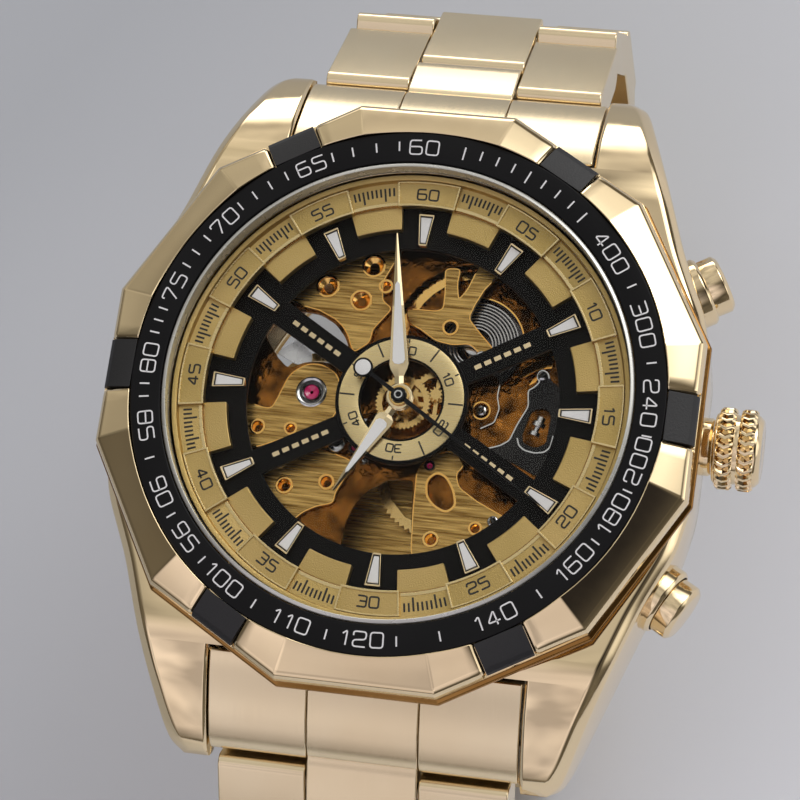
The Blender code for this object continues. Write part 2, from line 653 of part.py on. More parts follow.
def make_links(side, label):
    points = hinge_points()
    for number, heading in enumerate(HEADINGS):
        start = points[number]
        name = f"link_{label}_{number + 1}"
        width = LINK_WIDTH - LINK_STEP * number
        pivot = (0, side * start[0], start[1])
        outer_end = PITCH - END_REACH - LINK_GAP
        outer = end_curve(END_REACH, LINK_HALF, forward=False)
        outer += [
            (outer_end - 0.3, -LINK_HALF), (outer_end, -LINK_HALF + 0.3),
            (outer_end, LINK_HALF - 0.15), (outer_end - 0.15, LINK_HALF),
        ]
        centre = [(END_REACH + LINK_GAP, LINK_HALF - 0.15), (END_REACH + LINK_GAP, -LINK_HALF)]
        centre += end_curve(END_REACH, LINK_HALF, PITCH)
        centre += [(END_REACH + LINK_GAP + 0.15, LINK_HALF)]
        outer_side = along_link(outer, start, heading, side)
        centre_side = along_link(centre, start, heading, side)
        inner_x = CENTRE_WIDTH / 2 + 0.1
        link = side_prism(name, [centre_side], -CENTRE_WIDTH / 2, CENTRE_WIDTH / 2, SATIN, pivot)
        joiner = [
            (END_REACH + 0.5, -LINK_HALF + 0.25), (outer_end - 0.5, -LINK_HALF + 0.25),
            (outer_end - 0.5, LINK_HALF - 0.4), (END_REACH + 0.5, LINK_HALF - 0.4),
        ]
        joiner_side = along_link(joiner, start, heading, side)
        fuse(
            link,
            side_prism(f"{name}_outer_a", [outer_side], inner_x, width / 2),
            side_prism(f"{name}_outer_b", [outer_side], -width / 2, -inner_x),
            side_prism(f"{name}_joiner", [joiner_side], -inner_x - 1, inner_x + 1),
            rod(f"{name}_pin", PIN_R, -inner_x - 1, inner_x + 1, at=pivot, direction=(1, 0, 0), steps=16),
        )
        end = points[number + 1]
        cut(link, rod(
            f"{name}_eye", PIN_R + 0.08, -CENTRE_WIDTH, CENTRE_WIDTH,
            at=(0, side * end[0], end[1]), direction=(1, 0, 0), steps=16,
        ))


def make_end_link(side, label):
    hinge = END_HINGE
    hollow = [(hinge[0] + y, hinge[1] + z) for y, z in (polar(2.2, a) for a in (118, 145, 172, 199, 226))]
    wings = [
        (18.75, 1.5), (18.75, 8.1), (20.4, 7.35), (22.8, 5.85), (24.5, 4.5), (25.1, 3.9), (25.1, 3.3),
    ] + hollow + [(23.6, -0.5), (22.4, 0.6)]
    tongue_heading = -22
    tongue = [(-4.0, -LINK_HALF)] + end_curve(END_REACH, LINK_HALF)
    tongue += [(-2.0, LINK_HALF + 0.7), (-4.0, LINK_HALF + 0.4)]
    tongue_side = along_link(tongue, hinge, tongue_heading, side)
    flip = wings if side > 0 else [(-y, z) for y, z in reversed(wings)]
    name = f"end_link_{label}"
    link = side_prism(name, [flip[::-1]], -LUG_GAP + 0.12, LUG_GAP - 0.12, SATIN)
    fuse(link, side_prism(f"{name}_tongue", [tongue_side], -CENTRE_WIDTH / 2, CENTRE_WIDTH / 2))
    pin_at = (0, side * hinge[0], hinge[1])
    bar_at = (0, side * SPRING_BAR_Y, SPRING_BAR_Z)
    cut(
        link,
        rod(f"{name}_eye", PIN_R + 0.08, -8, 8, at=pin_at, direction=(1, 0, 0), steps=16),
        rod(f"{name}_bar_hole", 0.9, -15, 15, at=bar_at, direction=(1, 0, 0)),
    )
    spring_bar = rod(f"spring_bar_{label}", 0.8, -10.9, 10.9, STEEL, bar_at, (1, 0, 0), steps=16)
    tips = rod(f"spring_bar_tips_{label}", 0.5, -12.4, 12.4, at=bar_at, direction=(1, 0, 0), steps=10)
    fuse(spring_bar, tips)


def clasp_band(r_in, r_out, start_y, end_y, steps=8):
    """Side view of a curved strip of the clasp, between two Y positions."""
    last = hinge_points()[-1]
    middle_z = last[1] + math.sqrt(CLASP_R**2 - last[0] ** 2)
    ys = [start_y + (end_y - start_y) * i / steps for i in range(steps + 1)]
    sides = []
    for radius in (r_out, r_in):
        spread = [y * radius / CLASP_R for y in ys]
        sides.append([(y, middle_z - math.sqrt(radius**2 - y**2)) for y in spread])
    return sides[0] + sides[1][::-1]


def clasp_point(radius, y):
    last = hinge_points()[-1]
    middle_z = last[1] + math.sqrt(CLASP_R**2 - last[0] ** 2)
    return (y, middle_z - math.sqrt(radius**2 - y**2))


def make_clasp():
    last = hinge_points()[-1]
    pivot = (0, last[0], last[1])
    cover_side = clasp_band(62.75, 63.6, -CLASP_END, last[0] - 2.3)
    cover = side_prism("clasp_cover", [cover_side], -9.0, 9.0, SATIN, pivot)
    wall = clasp_band(60.7, 63.2, -CLASP_END + 0.2, last[0] - 2.0)
    ear_heading = -180 + math.degrees(math.asin(last[0] / CLASP_R))
    ear = end_curve(END_REACH, LINK_HALF, forward=False) + [(4.2, -LINK_HALF), (4.2, LINK_HALF)]
    ear_side = along_link(ear, last, ear_heading, 1)
    inner_x = CENTRE_WIDTH / 2 + 0.1
    blade_pin = clasp_point(62.1, -18.2)
    fuse(
        cover,
        side_prism("cover_wall_a", [wall], 8.6, 9.3),
        side_prism("cover_wall_b", [wall], -9.3, -8.6),
        side_prism("cover_ear_a", [ear_side], inner_x, 9.15),
        side_prism("cover_ear_b", [ear_side], -9.15, -inner_x),
        rod("cover_pin", PIN_R, -inner_x - 1, inner_x + 1, at=pivot, direction=(1, 0, 0), steps=16),
    )
    cut(cover, rod("cover_hinge_hole", 0.4, -12, 12, at=(0, *blade_pin), direction=(1, 0, 0), steps=10))

    fold_pin = clasp_point(61.65, 16.6)
    outer_pivot = (0, *blade_pin)
    outer_side = clasp_band(61.85, 62.4, -18.2, 16.4)
    outer = side_prism("clasp_outer_blade", [outer_side], -8.3, 8.3, SATIN, outer_pivot)
    fuse(
        outer,
        rod("outer_blade_knuckle", 0.6, -8.35, 8.35, at=outer_pivot, direction=(1, 0, 0), steps=16),
        rod("outer_blade_trunnion", 0.32, -9.2, 9.2, at=outer_pivot, direction=(1, 0, 0), steps=16),
    )
    cut(outer, side_prism("fold_clearance", [circle(1.15, 20, fold_pin)], -20, 20))
    fuse(
        outer,
        rod("outer_fold_knuckle", 0.85, -3.0, 3.0, at=(0, *fold_pin), direction=(1, 0, 0), steps=16),
        side_prism("outer_fold_bridge", [clasp_band(61.86, 62.39, 14.5, 16.5)], -2.9, 2.9),
    )
    cut(outer, rod("fold_hole", 0.42, -4, 4, at=(0, *fold_pin), direction=(1, 0, 0), steps=10))

    inner_pivot = (0, *fold_pin)
    inner_side = clasp_band(60.85, 61.4, -CLASP_END + 0.4, 16.4)
    inner = side_prism("clasp_inner_blade", [inner_side], -8.3, 8.3, SATIN, inner_pivot)
    cut(inner, side_prism("inner_clearance", [circle(1.15, 20, fold_pin)], -3.2, 3.2))
    fuse(
        inner,
        side_prism("inner_fold_knuckles", [circle(0.84, 16, fold_pin)], 3.15, 8.25),
        side_prism("inner_fold_knuckles_b", [circle(0.84, 16, fold_pin)], -8.25, -3.15),
        rod("inner_fold_pin", 0.35, -4, 4, at=inner_pivot, direction=(1, 0, 0), steps=16),
    )


make_case()
make_bezel()
make_glass()
make_back()
make_crown()
make_pushers()
make_dial()
make_hands()
make_train()
make_barrel()
make_escapement()
make_plates()
for side, label in ((1, "12"), (-1, "6")):
    make_end_link(side, label)
    make_links(side, label)
make_clasp()
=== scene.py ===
"""Looks for the skeleton wristwatch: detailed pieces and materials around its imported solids.

Shapes are drawn in millimetres in the solids' frame: +Z out of the dial, +X to the crown,
+Y to 12 o'clock, origin at the centre of the case back's outer face. MM turns them into metres.
"""

import math

import bmesh
import bpy
import numpy as np
from mathutils import Matrix, Vector
from mathutils.geometry import delaunay_2d_cdt


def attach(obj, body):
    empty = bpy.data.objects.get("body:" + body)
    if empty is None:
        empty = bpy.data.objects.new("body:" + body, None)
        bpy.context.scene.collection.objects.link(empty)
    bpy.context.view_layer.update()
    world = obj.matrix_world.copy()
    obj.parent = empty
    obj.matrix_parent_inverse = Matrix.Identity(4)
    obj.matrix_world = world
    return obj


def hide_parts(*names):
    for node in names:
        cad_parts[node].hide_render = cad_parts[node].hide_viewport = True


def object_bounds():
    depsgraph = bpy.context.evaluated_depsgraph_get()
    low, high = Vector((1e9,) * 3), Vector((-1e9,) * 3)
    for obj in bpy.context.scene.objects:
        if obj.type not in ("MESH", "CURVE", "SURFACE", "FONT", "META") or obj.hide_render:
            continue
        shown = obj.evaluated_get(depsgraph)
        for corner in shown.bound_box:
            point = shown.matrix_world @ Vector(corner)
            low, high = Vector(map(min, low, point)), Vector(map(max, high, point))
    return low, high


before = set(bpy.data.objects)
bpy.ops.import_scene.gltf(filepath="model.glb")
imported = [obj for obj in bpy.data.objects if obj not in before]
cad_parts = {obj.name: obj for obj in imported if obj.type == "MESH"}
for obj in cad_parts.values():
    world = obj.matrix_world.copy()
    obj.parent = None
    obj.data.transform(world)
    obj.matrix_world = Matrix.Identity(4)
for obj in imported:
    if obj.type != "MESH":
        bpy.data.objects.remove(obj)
CAD_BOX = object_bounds()
MM = 0.001

# --- sizes shared with the solids ---------------------------------------------
# Height of the crown's and the buttons' axes.
CONTROL_Z = 4.3
# The black ring in the bezel, and the tabs on six of the facets.
INSERT_IN, INSERT_OUT, INSERT_TOP = 16.65, 18.8, 11.93
TAB_HALF = 1.75
TAB_ANGLES = (0, 60, 120, 180, 240, 300)
# The dial, and the middles of the barrel and wheels under it.
DIAL_UNDER, DIAL_TOP = 8.55, 8.95
BARREL_AT = (4.2, 5.2)
THIRD_AT = (2.42, -4.19)
ESCAPE_AT = (-2.39, -4.14)
BALANCE_AT = (-6.3, 0.0)
# The case: half the gap between its lugs, its side as (X, Y), and its top and underside as (Y, Z).
HALF_LUG_GAP = 11.15
CASE_FLANK = (
    (21.0, -1.0), (21.0, 0.0), (21.0, 5.0), (20.3, 8.6), (18.3, 13.0), (16.5, 18.2), (14.4, 24.0),
    (13.9, 25.0), (13.0, 25.6),
)
CASE_TOP = ((0, 8.4), (17.6, 8.4), (20.4, 7.5), (22.8, 6.0), (24.6, 4.6), (25.4, 3.6), (25.6, 2.7))
CASE_UNDER = ((0, 1.2), (18.0, 1.2), (22.5, 0.7), (24.4, 0.9), (25.3, 1.6), (25.6, 2.5))
# The links: hinge to hinge, half thickness, width and how much narrower each next one is, half width
# of the middle row, how far the ends reach past a hinge, the gap there, rolled edges and pins.
PITCH = 8.8
LINK_HALF = 1.6
LINK_WIDTH, LINK_STEP = 20.8, 0.5
CENTRE_HALF = 3.95
END_REACH = 1.95
LINK_GAP = 0.15
LINK_EDGES = (0.75, 0.4)
PIN_RADIUS = 0.75
# The first hinge at the case as (Y, Z), and the way each link heads from it, in degrees.
END_HINGE = (26.2, 0.9)
HEADINGS = (-42, -70, -98, -124, -150)
# The clasp: radius of its curve, its far end, and the inner and outer radii of its shell and walls.
CLASP_RADIUS = 62.0
CLASP_END = 19.8
CLASP_SHELL, CLASP_WALL = (62.76, 63.56), (60.75, 63.15)


# --- outlines -----------------------------------------------------------------
def polar(radius, angle):
    return radius * math.cos(math.radians(angle)), radius * math.sin(math.radians(angle))


def circle(radius, steps=48, at=(0, 0)):
    points = (polar(radius, 360 * i / steps) for i in range(steps))
    return [(at[0] + x, at[1] + y) for x, y in points]


def sector(r_in, r_out, start, end, steps=8):
    outer = [polar(r_out, start + (end - start) * i / steps) for i in range(steps + 1)]
    return outer + [polar(r_in, end + (start - end) * i / steps) for i in range(steps + 1)]


def bar(length_from, length_to, half_from, half_to, angle, at=(0, 0)):
    """A bar between two distances along an angle, with its half width at each end."""
    c, s = polar(1, angle)
    corners = (
        (length_from, -half_from), (length_to, -half_to), (length_to, half_to), (length_from, half_from),
    )
    return [(at[0] + a * c - b * s, at[1] + a * s + b * c) for a, b in corners]


def turn_points(points, angle):
    """Points turned about the middle of the dial."""
    c, s = polar(1, angle)
    return [(x * c - y * s, x * s + y * c) for x, y in points]


def signed_area(points):
    loop = zip(points, points[1:] + points[:1])
    return sum(a[0] * b[1] - b[0] * a[1] for a, b in loop) / 2


def soften(points, radius, steps=4, closed=True, least=14.0):
    """Rounds an outline's corners, leaving those that turn by less than the least angle."""
    result = []
    count = len(points)
    for i, here in enumerate(points):
        if not closed and i in (0, count - 1):
            result.append(here)
            continue
        before, after = Vector(points[i - 1]), Vector(points[(i + 1) % count])
        corner = Vector(here)
        back, ahead = before - corner, after - corner
        turn = 180 - math.degrees(back.angle(ahead, math.pi))
        if turn < least:
            result.append(here)
            continue
        start = corner + back.normalized() * min(radius, 0.45 * back.length)
        end = corner + ahead.normalized() * min(radius, 0.45 * ahead.length)
        for k in range(steps + 1):
            t = k / steps
            point = (1 - t) ** 2 * start + 2 * t * (1 - t) * corner + t * t * end
            result.append((point.x, point.y))
    return result


def inside(point, outline):
    x, y = point
    hit = False
    for (x1, y1), (x2, y2) in zip(outline, outline[1:] + outline[:1]):
        if (y1 > y) != (y2 > y) and x < (x2 - x1) * (y - y1) / (y2 - y1) + x1:
            hit = not hit
    return hit


# --- meshes -------------------------------------------------------------------
def mesh_from(points, faces, merge=0.00002):
    """A closed mesh with its faces turned outwards."""
    mesh = bpy.data.meshes.new("piece")
    mesh.from_pydata(points, [], faces)
    work = bmesh.new()
    work.from_mesh(mesh)
    bmesh.ops.remove_doubles(work, verts=work.verts, dist=merge)
    bmesh.ops.recalc_face_normals(work, faces=work.faces)
    work.to_mesh(mesh)
    work.free()
    return mesh


def bands(rows, count, wrap=False):
    """Faces between rows of points with equal counts. With wrap, the last row meets the first."""
    faces = []
    for row in range(rows if wrap else rows - 1):
        here, there = row * count, (row + 1) % rows * count
        for k in range(count):
            m = (k + 1) % count
            faces.append([here + k, there + k, there + m, here + m])
    return faces


def joined(*meshes):
    work = bmesh.new()
    for mesh in meshes:
        work.from_mesh(mesh)
    result = bpy.data.meshes.new("piece")
    work.to_mesh(result)
    work.free()
    return result


def slab(outlines, low, high, holes=()):
    """Outlines with holes, extruded from low to high."""
    meshes = []
    for outline in outlines:
        own = [hole for hole in holes if inside(hole[0], outline)]
        loops = [outline] + own
        flat, edges = [], []
        for loop in loops:
            start, count = len(flat), len(loop)
            flat += [Vector(p) for p in loop]
            edges += [(start + i, start + (i + 1) % count) for i in range(count)]
        found = delaunay_2d_cdt(flat, edges, [], 0, 1e-6)
        verts, triangles = found[0], found[2]
        kept = []
        for triangle in triangles:
            middle = sum((verts[i] for i in triangle), Vector((0, 0))) / 3
            if inside(middle, outline) and not any(inside(middle, hole) for hole in own):
                kept.append(list(triangle))
        meshes.append(thicken([(v.x, v.y) for v in verts], kept, low, high))
    return joined(*meshes) if len(meshes) > 1 else meshes[0]


def thicken(verts, triangles, low, high):
    """Flat triangles made solid. Low and high are heights, or functions of a point."""
    low_at = low if callable(low) else lambda p: low
    high_at = high if callable(high) else lambda p: high
    count = len(verts)
    points = [(x, y, low_at((x, y))) for x, y in verts] + [(x, y, high_at((x, y))) for x, y in verts]
    faces = [t[::-1] for t in triangles] + [[i + count for i in t] for t in triangles]
    used = {}
    for t in triangles:
        for a, b in zip(t, t[1:] + t[:1]):
            used[(a, b)] = True
    for a, b in used:
        if (b, a) not in used:
            faces.append([a, b, b + count, a + count])
    return mesh_from(points, faces)


def lathe(profile, steps=144):
    """A closed outline of (radius, height) points turned about Z."""
    points = []
    count = len(profile)
    for i in range(steps):
        points += [(*polar(radius, 360 * i / steps), height) for radius, height in profile]
    on_axis = [radius < 1e-6 for radius, height in profile]
    faces = bands(steps, count, wrap=True)
    return mesh_from(points, [f for f in faces if not (on_axis[f[0] % count] and on_axis[f[3] % count])])


def swept(outline, low, high):
    """An outline of (Y, Z) points extruded along X."""
    if signed_area(outline) < 0:
        outline = outline[::-1]
    count = len(outline)
    points = [(x, y, z) for x in (low, high) for y, z in outline]
    ends = [[*range(count)][::-1], [*range(count, 2 * count)]]
    return mesh_from(points, ends + bands(2, count))


def moved(mesh, x, y):
    mesh.transform(Matrix.Translation((x, y, 0)))
    return mesh


def washer(r_in, r_out, low, high, rounding=0.0, fineness=3, steps=48, at=(0, 0)):
    """A flat ring, or a disc where r_in is 0, with its edges rounded."""
    profile = [(r_in, low), (r_out, low), (r_out, high), (r_in, high)]
    if rounding:
        profile = soften(profile, rounding, fineness)
    return moved(lathe(profile, steps), *at)


def ribbon(path, half, low, high, closed=False):
    """A flat line of even width along a path, as points and faces."""
    count = len(path)
    sides = []
    for i, here in enumerate(path):
        ahead = Vector(path[(i + 1) % count]) if closed or i < count - 1 else None
        back = Vector(path[i - 1]) if closed or i > 0 else None
        point = Vector(here)
        first = (point - back).normalized() if back is not None else (ahead - point).normalized()
        second = (ahead - point).normalized() if ahead is not None else first
        along = (first + second).normalized()
        across = Vector((-along.y, along.x)) * half / max(along.dot(first), 0.5)
        sides.append((point - across, point + across))
    points = []
    for right, left in sides:
        points += [(*right, low), (*right, high), (*left, high), (*left, low)]
    faces = bands(count, 4, wrap=closed)
    if not closed:
        last = 4 * (count - 1)
        faces += [[0, 1, 2, 3], [last + 3, last + 2, last + 1, last]]
    return points, faces


def gathered(parts):
    """One mesh from several lists of points and faces."""
    points, faces = [], []
    for more_points, more_faces in parts:
        start = len(points)
        points += more_points
        faces += [[start + i for i in face] for face in more_faces]
    return mesh_from(points, faces, merge=0.000001)


def add_object(name, data):
    obj = bpy.data.objects.new(name, data)
    bpy.context.scene.collection.objects.link(obj)
    return obj


def piece(name, mesh, finish, body="case", replaces=(), at=(0, 0, 0), towards=(0, 0, 1), bevel=0.0,
          bevel_angle=30, segments=2, smooth=28):
    """A shown object: mesh in millimetres, finish, body that it moves with and solids that it stands for.

    The mesh can also be a list: of meshes, or of lines as ribbon gives them.
    """
    if isinstance(mesh, list):
        mesh = gathered(mesh) if isinstance(mesh[0], tuple) else joined(*mesh)
    mesh.transform(Matrix.Scale(MM, 4))
    mesh.name = name
    obj = add_object(name, mesh)
    turn = Vector((0, 0, 1)).rotation_difference(Vector(towards)).to_matrix().to_4x4()
    obj.matrix_world = Matrix.Translation(Vector(at) * MM) @ turn
    finishes = finish if isinstance(finish, list) else [finish]
    for one in finishes:
        mesh.materials.append(one)
    mesh.polygons.foreach_set("use_smooth", [True] * len(mesh.polygons))
    mesh.set_sharp_from_angle(angle=math.radians(smooth))
    if bevel:
        soft = obj.modifiers.new("soft_edges", "BEVEL")
        soft.width = bevel * MM
        soft.segments = segments
        soft.limit_method = "ANGLE"
        soft.angle_limit = math.radians(bevel_angle)
        soft.harden_normals = True
    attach(obj, body)
    if replaces:
        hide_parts(*replaces)


# --- finishes -----------------------------------------------------------------
MICRON = 1e-6
EVEN = (1, 1, 1)
COAT_ROUGHNESS = 0.08
GLASS_GLOSS = 0.13


class Nodes:
    """A node tree, with the few node patterns that the finishes and the room share."""

    def __init__(self, tree):
        self.tree = tree

    def feed(self, node, inputs):
        """Gives each input of a node its value, or another node's output."""
        for key, value in inputs.items():
            if isinstance(value, bpy.types.NodeSocket):
                self.tree.links.new(value, node.inputs[key])
            else:
                node.inputs[key].default_value = value

    def add(self, kind, inputs, **settings):
        made = self.tree.nodes.new(kind)
        for key, value in settings.items():
            setattr(made, key, value)
        self.feed(made, inputs)
        return made

    def noise(self, scale, stretch=EVEN, detail=3.0):
        """Noise over the object, with scale in waves per metre and a stretch along each axis."""
        where = self.add("ShaderNodeTexCoord", {}).outputs["Object"]
        stretched = self.add("ShaderNodeMapping", {"Scale": stretch, "Vector": where}).outputs["Vector"]
        inputs = {"Scale": scale, "Detail": detail, "Vector": stretched}
        return self.add("ShaderNodeTexNoise", inputs).outputs["Fac"]

    def ranged(self, source, low, high, start=0.3, end=0.7):
        """What the source gives from start to end, spread from low to high."""
        inputs = {"Value": source, "From Min": start, "From Max": end, "To Min": low, "To Max": high}
        return self.add("ShaderNodeMapRange", inputs).outputs["Result"]

    def mixed(self, source, first, second):
        inputs = {"Factor": source, "A": (*first, 1), "B": (*second, 1)}
        return self.add("ShaderNodeMix", inputs, data_type="RGBA").outputs["Result"]


def new_material(name):
    material = bpy.data.materials.new(name)
    material.use_nodes = True
    return material, Nodes(material.node_tree)


def finish(name, slot, first, second, metallic, roughness, grain, relief, strength, detail=4.0,
           stretch=EVEN, coat=0.0, patches=140.0, patch_stretch=EVEN, specular=0.5):
    """A surface whose colour drifts in patches. Roughness and relief, in microns, follow its grain."""
    material, nodes = new_material(name)
    fine = nodes.noise(grain, stretch, detail)
    broad = nodes.noise(patches, patch_stretch, 2.0)
    inputs = {"Distance": relief * MICRON, "Strength": strength, "Height": fine}
    bump = nodes.add("ShaderNodeBump", inputs)
    inputs = {
        "Base Color": nodes.mixed(nodes.ranged(broad, 0, 1), first, second),
        "Roughness": nodes.ranged(fine, *roughness), "Metallic": metallic,
        "Specular IOR Level": specular, "Normal": bump.outputs["Normal"],
    }
    if coat:
        inputs.update({"Coat Weight": coat, "Coat Roughness": COAT_ROUGHNESS})
    nodes.feed(nodes.tree.nodes["Principled BSDF"], inputs)
    return material


def clear_glass(name, tint):
    """Clear through and through, with gloss that grows at grazing angles and a few faint smears."""
    material, nodes = new_material(name)
    smears = nodes.ranged(nodes.noise(90, detail=5), 0.0, 0.035, 0.45, 0.75)
    through = nodes.add("ShaderNodeBsdfTransparent", {"Color": (*tint, 1)})
    gloss = nodes.add("ShaderNodeBsdfGlossy", {"Roughness": smears})
    facing = nodes.add("ShaderNodeFresnel", {"IOR": 1.5})
    share = nodes.add("ShaderNodeMath", {0: facing.outputs["Fac"], 1: GLASS_GLOSS}, operation="MULTIPLY")
    inputs = {"Fac": share.outputs["Value"], 1: through.outputs["BSDF"], 2: gloss.outputs["BSDF"]}
    blend = nodes.add("ShaderNodeMixShader", inputs)
    nodes.feed(nodes.tree.nodes["Material Output"], {"Surface": blend.outputs["Shader"]})
    return material


GOLD = finish(
    "polished_gold", "gold_polished", (0.86, 0.70, 0.45), (0.83, 0.66, 0.41), 1, (0.045, 0.10), 900, 4,
    0.12, detail=5,
)
SATIN = finish(
    "satin_gold", "gold_satin", (0.88, 0.74, 0.50), (0.84, 0.69, 0.45), 1, (0.19, 0.25), 22000, 2, 0.05,
    detail=2, stretch=(1, 0.02, 0.02),
)
CLASP_SATIN = finish(
    "clasp_satin", "gold_satin", (0.82, 0.66, 0.40), (0.78, 0.62, 0.37), 1, (0.22, 0.36), 24000, 3,
    0.12, detail=2, stretch=(1, 0.02, 0.02),
)
# Darker gold with painted shade: stands in for shade and dark reflections on the bezel's lower band and on
# the chapter ring's inner wall.
PAINTED_SHADE_GOLD = finish(
    "painted_shade_gold", "dial_gold", (0.24, 0.11, 0.025), (0.40, 0.22, 0.07), 1, (0.10, 0.20), 5000, 10, 0.2,
    detail=3,
)
BLAST_GOLD = finish(
    "sandblasted_gold", "dial_gold", (0.50, 0.355, 0.125), (0.62, 0.44, 0.18), 1, (0.32, 0.5), 11000,
    50, 0.6, detail=2,
)
RING_GOLD = finish(
    "brushed_ring_gold", "dial_gold", (0.80, 0.64, 0.34), (0.72, 0.56, 0.28), 1, (0.22, 0.34), 5000, 10,
    0.25, detail=3, stretch=(0.05, 1, 1),
)
PLATE = finish(
    "line_brushed_plate", "plate_gold", (0.20, 0.10, 0.02), (0.74, 0.48, 0.16), 1, (0.20, 0.40), 5200,
    60, 0.8, detail=5, stretch=(0.04, 1, 1), patches=6200, patch_stretch=(0.05, 1, 1),
)
# Random patches from near black to orange: partly the metal's own uneven tone, partly painted dark
# reflections and painted orange glints.
COPPER = finish(
    "copper_polish", "wheel_brass", (0.022, 0.009, 0.003), (0.36, 0.14, 0.025), 1, (0.08, 0.2), 900,
    300, 0.8, detail=5, patches=700,
)
AMBER = finish(
    "polished_amber", "wheel_brass", (0.90, 0.46, 0.11), (0.94, 0.60, 0.20), 1, (0.06, 0.16), 2000, 30,
    0.4,
)
BRASS = finish(
    "satin_brass", "wheel_brass", (0.72, 0.47, 0.17), (0.78, 0.56, 0.24), 1, (0.16, 0.3), 3000, 10, 0.2,
)
STEEL = finish(
    "polished_steel", "steel", (0.60, 0.60, 0.62), (0.68, 0.68, 0.69), 1, (0.1, 0.22), 2500, 8, 0.2,
    stretch=(1, 0.1, 1),
)
DARK_STEEL = finish(
    "dark_steel", "steel", (0.04, 0.04, 0.045), (0.12, 0.11, 0.11), 1, (0.12, 0.26), 2500, 8, 0.2,
)
BLACK = finish(
    "satin_black", "black_enamel", (0.004, 0.004, 0.005), (0.007, 0.007, 0.008), 0, (0.30, 0.42), 9000,
    20, 0.3, detail=2, specular=0.14,
)
DIAL_BLACK = finish(
    "dial_black", "black_enamel", (0.002, 0.002, 0.002), (0.005, 0.004, 0.004), 0, (0.28, 0.45), 4500,
    30, 0.3, detail=3, specular=0.08,
)
GRAPHITE = finish(
    "graphite_tab", "black_enamel", (0.008, 0.008, 0.010), (0.014, 0.014, 0.016), 0, (0.40, 0.50), 8000,
    30, 0.4, detail=2,
)
INK = finish(
    "black_print", "black_enamel", (0.010, 0.009, 0.008), (0.016, 0.014, 0.012), 0, (0.4, 0.55), 6000,
    5, 0.2,
)
PAINT = finish(
    "white_print", "seal_white", (0.80, 0.80, 0.82), (0.72, 0.72, 0.75), 0, (0.4, 0.55), 6000, 5, 0.2,
)
LUME = finish(
    "white_lume", "seal_white", (0.86, 0.85, 0.86), (0.80, 0.79, 0.80), 0, (0.45, 0.6), 5000, 20, 0.25,
)
SEAL = finish(
    "silvery_seal", "seal_white", (0.62, 0.62, 0.59), (0.52, 0.52, 0.49), 0.55, (0.18, 0.32), 700, 10,
    0.2,
)
HOLDER = finish(
    "holder_black", "holder_plastic", (0.03, 0.03, 0.03), (0.05, 0.05, 0.05), 0, (0.45, 0.6), 4000, 20,
    0.3,
)
RUBY = finish(
    "ruby", "seal_white", (0.55, 0.01, 0.10), (0.70, 0.03, 0.20), 0, (0.05, 0.12), 1500, 5, 0.1,
    coat=0.6,
)
PEARL = finish(
    "pearl_steel", "steel", (0.88, 0.88, 0.90), (0.80, 0.80, 0.82), 0.55, (0.22, 0.34), 1200, 10, 0.2,
)
INK_STEEL = finish(
    "black_steel", "steel", (0.012, 0.012, 0.013), (0.04, 0.038, 0.036), 0.8, (0.16, 0.3), 2500, 20,
    0.3,
)
SPRING = finish(
    "spring_steel", "steel", (0.55, 0.54, 0.55), (0.68, 0.67, 0.68), 1, (0.14, 0.26), 3000, 5, 0.2,
)
GLASS = clear_glass("crystal_clear", (0.985, 0.99, 0.985))


# --- print --------------------------------------------------------------------
# Strokes of each figure in a box one high and 0.84 wide, drawn as rounded squares.
FIGURES = {
    "0": [([(0, 0), (0.84, 0), (0.84, 1), (0, 1)], True)],
    "1": [([(0.18, 0.74), (0.46, 1), (0.46, 0)], False)],
    "2": [([(0, 0.72), (0, 1), (0.84, 1), (0.84, 0.5), (0, 0.42), (0, 0), (0.84, 0)], False)],
    "3": [([(0, 1), (0.84, 1), (0.84, 0), (0, 0)], False), ([(0.2, 0.52), (0.84, 0.52)], False)],
    "4": [([(0.6, 0), (0.6, 1), (0, 0.26), (0.86, 0.26)], False)],
    "5": [([(0.82, 1), (0, 1), (0, 0.56), (0.84, 0.56), (0.84, 0), (0, 0)], False)],
    "6": [([(0.78, 1), (0, 1), (0, 0), (0.84, 0), (0.84, 0.55), (0, 0.55)], False)],
    "7": [([(0, 0.78), (0, 1), (0.84, 1), (0.3, 0)], False)],
    "8": [([(0, 0), (0.84, 0), (0.84, 1), (0, 1)], True), ([(0, 0.53), (0.84, 0.53)], False)],
    "9": [([(0.06, 0), (0.84, 0), (0.84, 1), (0, 1), (0, 0.45), (0.84, 0.45)], False)],
}


def figure_width(figure):
    return 0.62 if figure == "1" else 0.84


def numeral(text, size, stroke, radius, angle, low, high, outward=True, gap=0.3):
    """A number curved round the dial at a clock angle, with its tops outward or inward."""
    parts = []
    total = sum(figure_width(f) for f in text) + gap * (len(text) - 1)
    cursor = -total / 2
    for figure in text:
        middle = (cursor + figure_width(figure) / 2) * size
        cursor += figure_width(figure) + gap
        turn = math.degrees(middle / radius)
        place_at = 90 - (angle + turn if outward else angle - turn)
        for path, closed in FIGURES[figure]:
            smooth_path = soften(path, 0.2, 3, closed)
            flat = []
            for x, y in smooth_path:
                across = (x - figure_width(figure) / 2) * size
                up = (y - 0.5) * size
                if not outward:
                    across, up = -across, -up
                flat.append(turned_point((across, up), radius, place_at))
            parts.append(ribbon(flat, stroke / 2, low, high, closed))
    return parts


def turned_point(point, radius, angle):
    """A point given as (across, outwards) from a spot on a circle, on the dial."""
    c, s = polar(1, angle)
    out = radius + point[1]
    return out * c + point[0] * s, out * s - point[0] * c


def tick(start, end, width, angle, low, high):
    """A short radial line at a clock angle."""
    return ribbon([polar(start, 90 - angle), polar(end, 90 - angle)], width / 2, low, high)


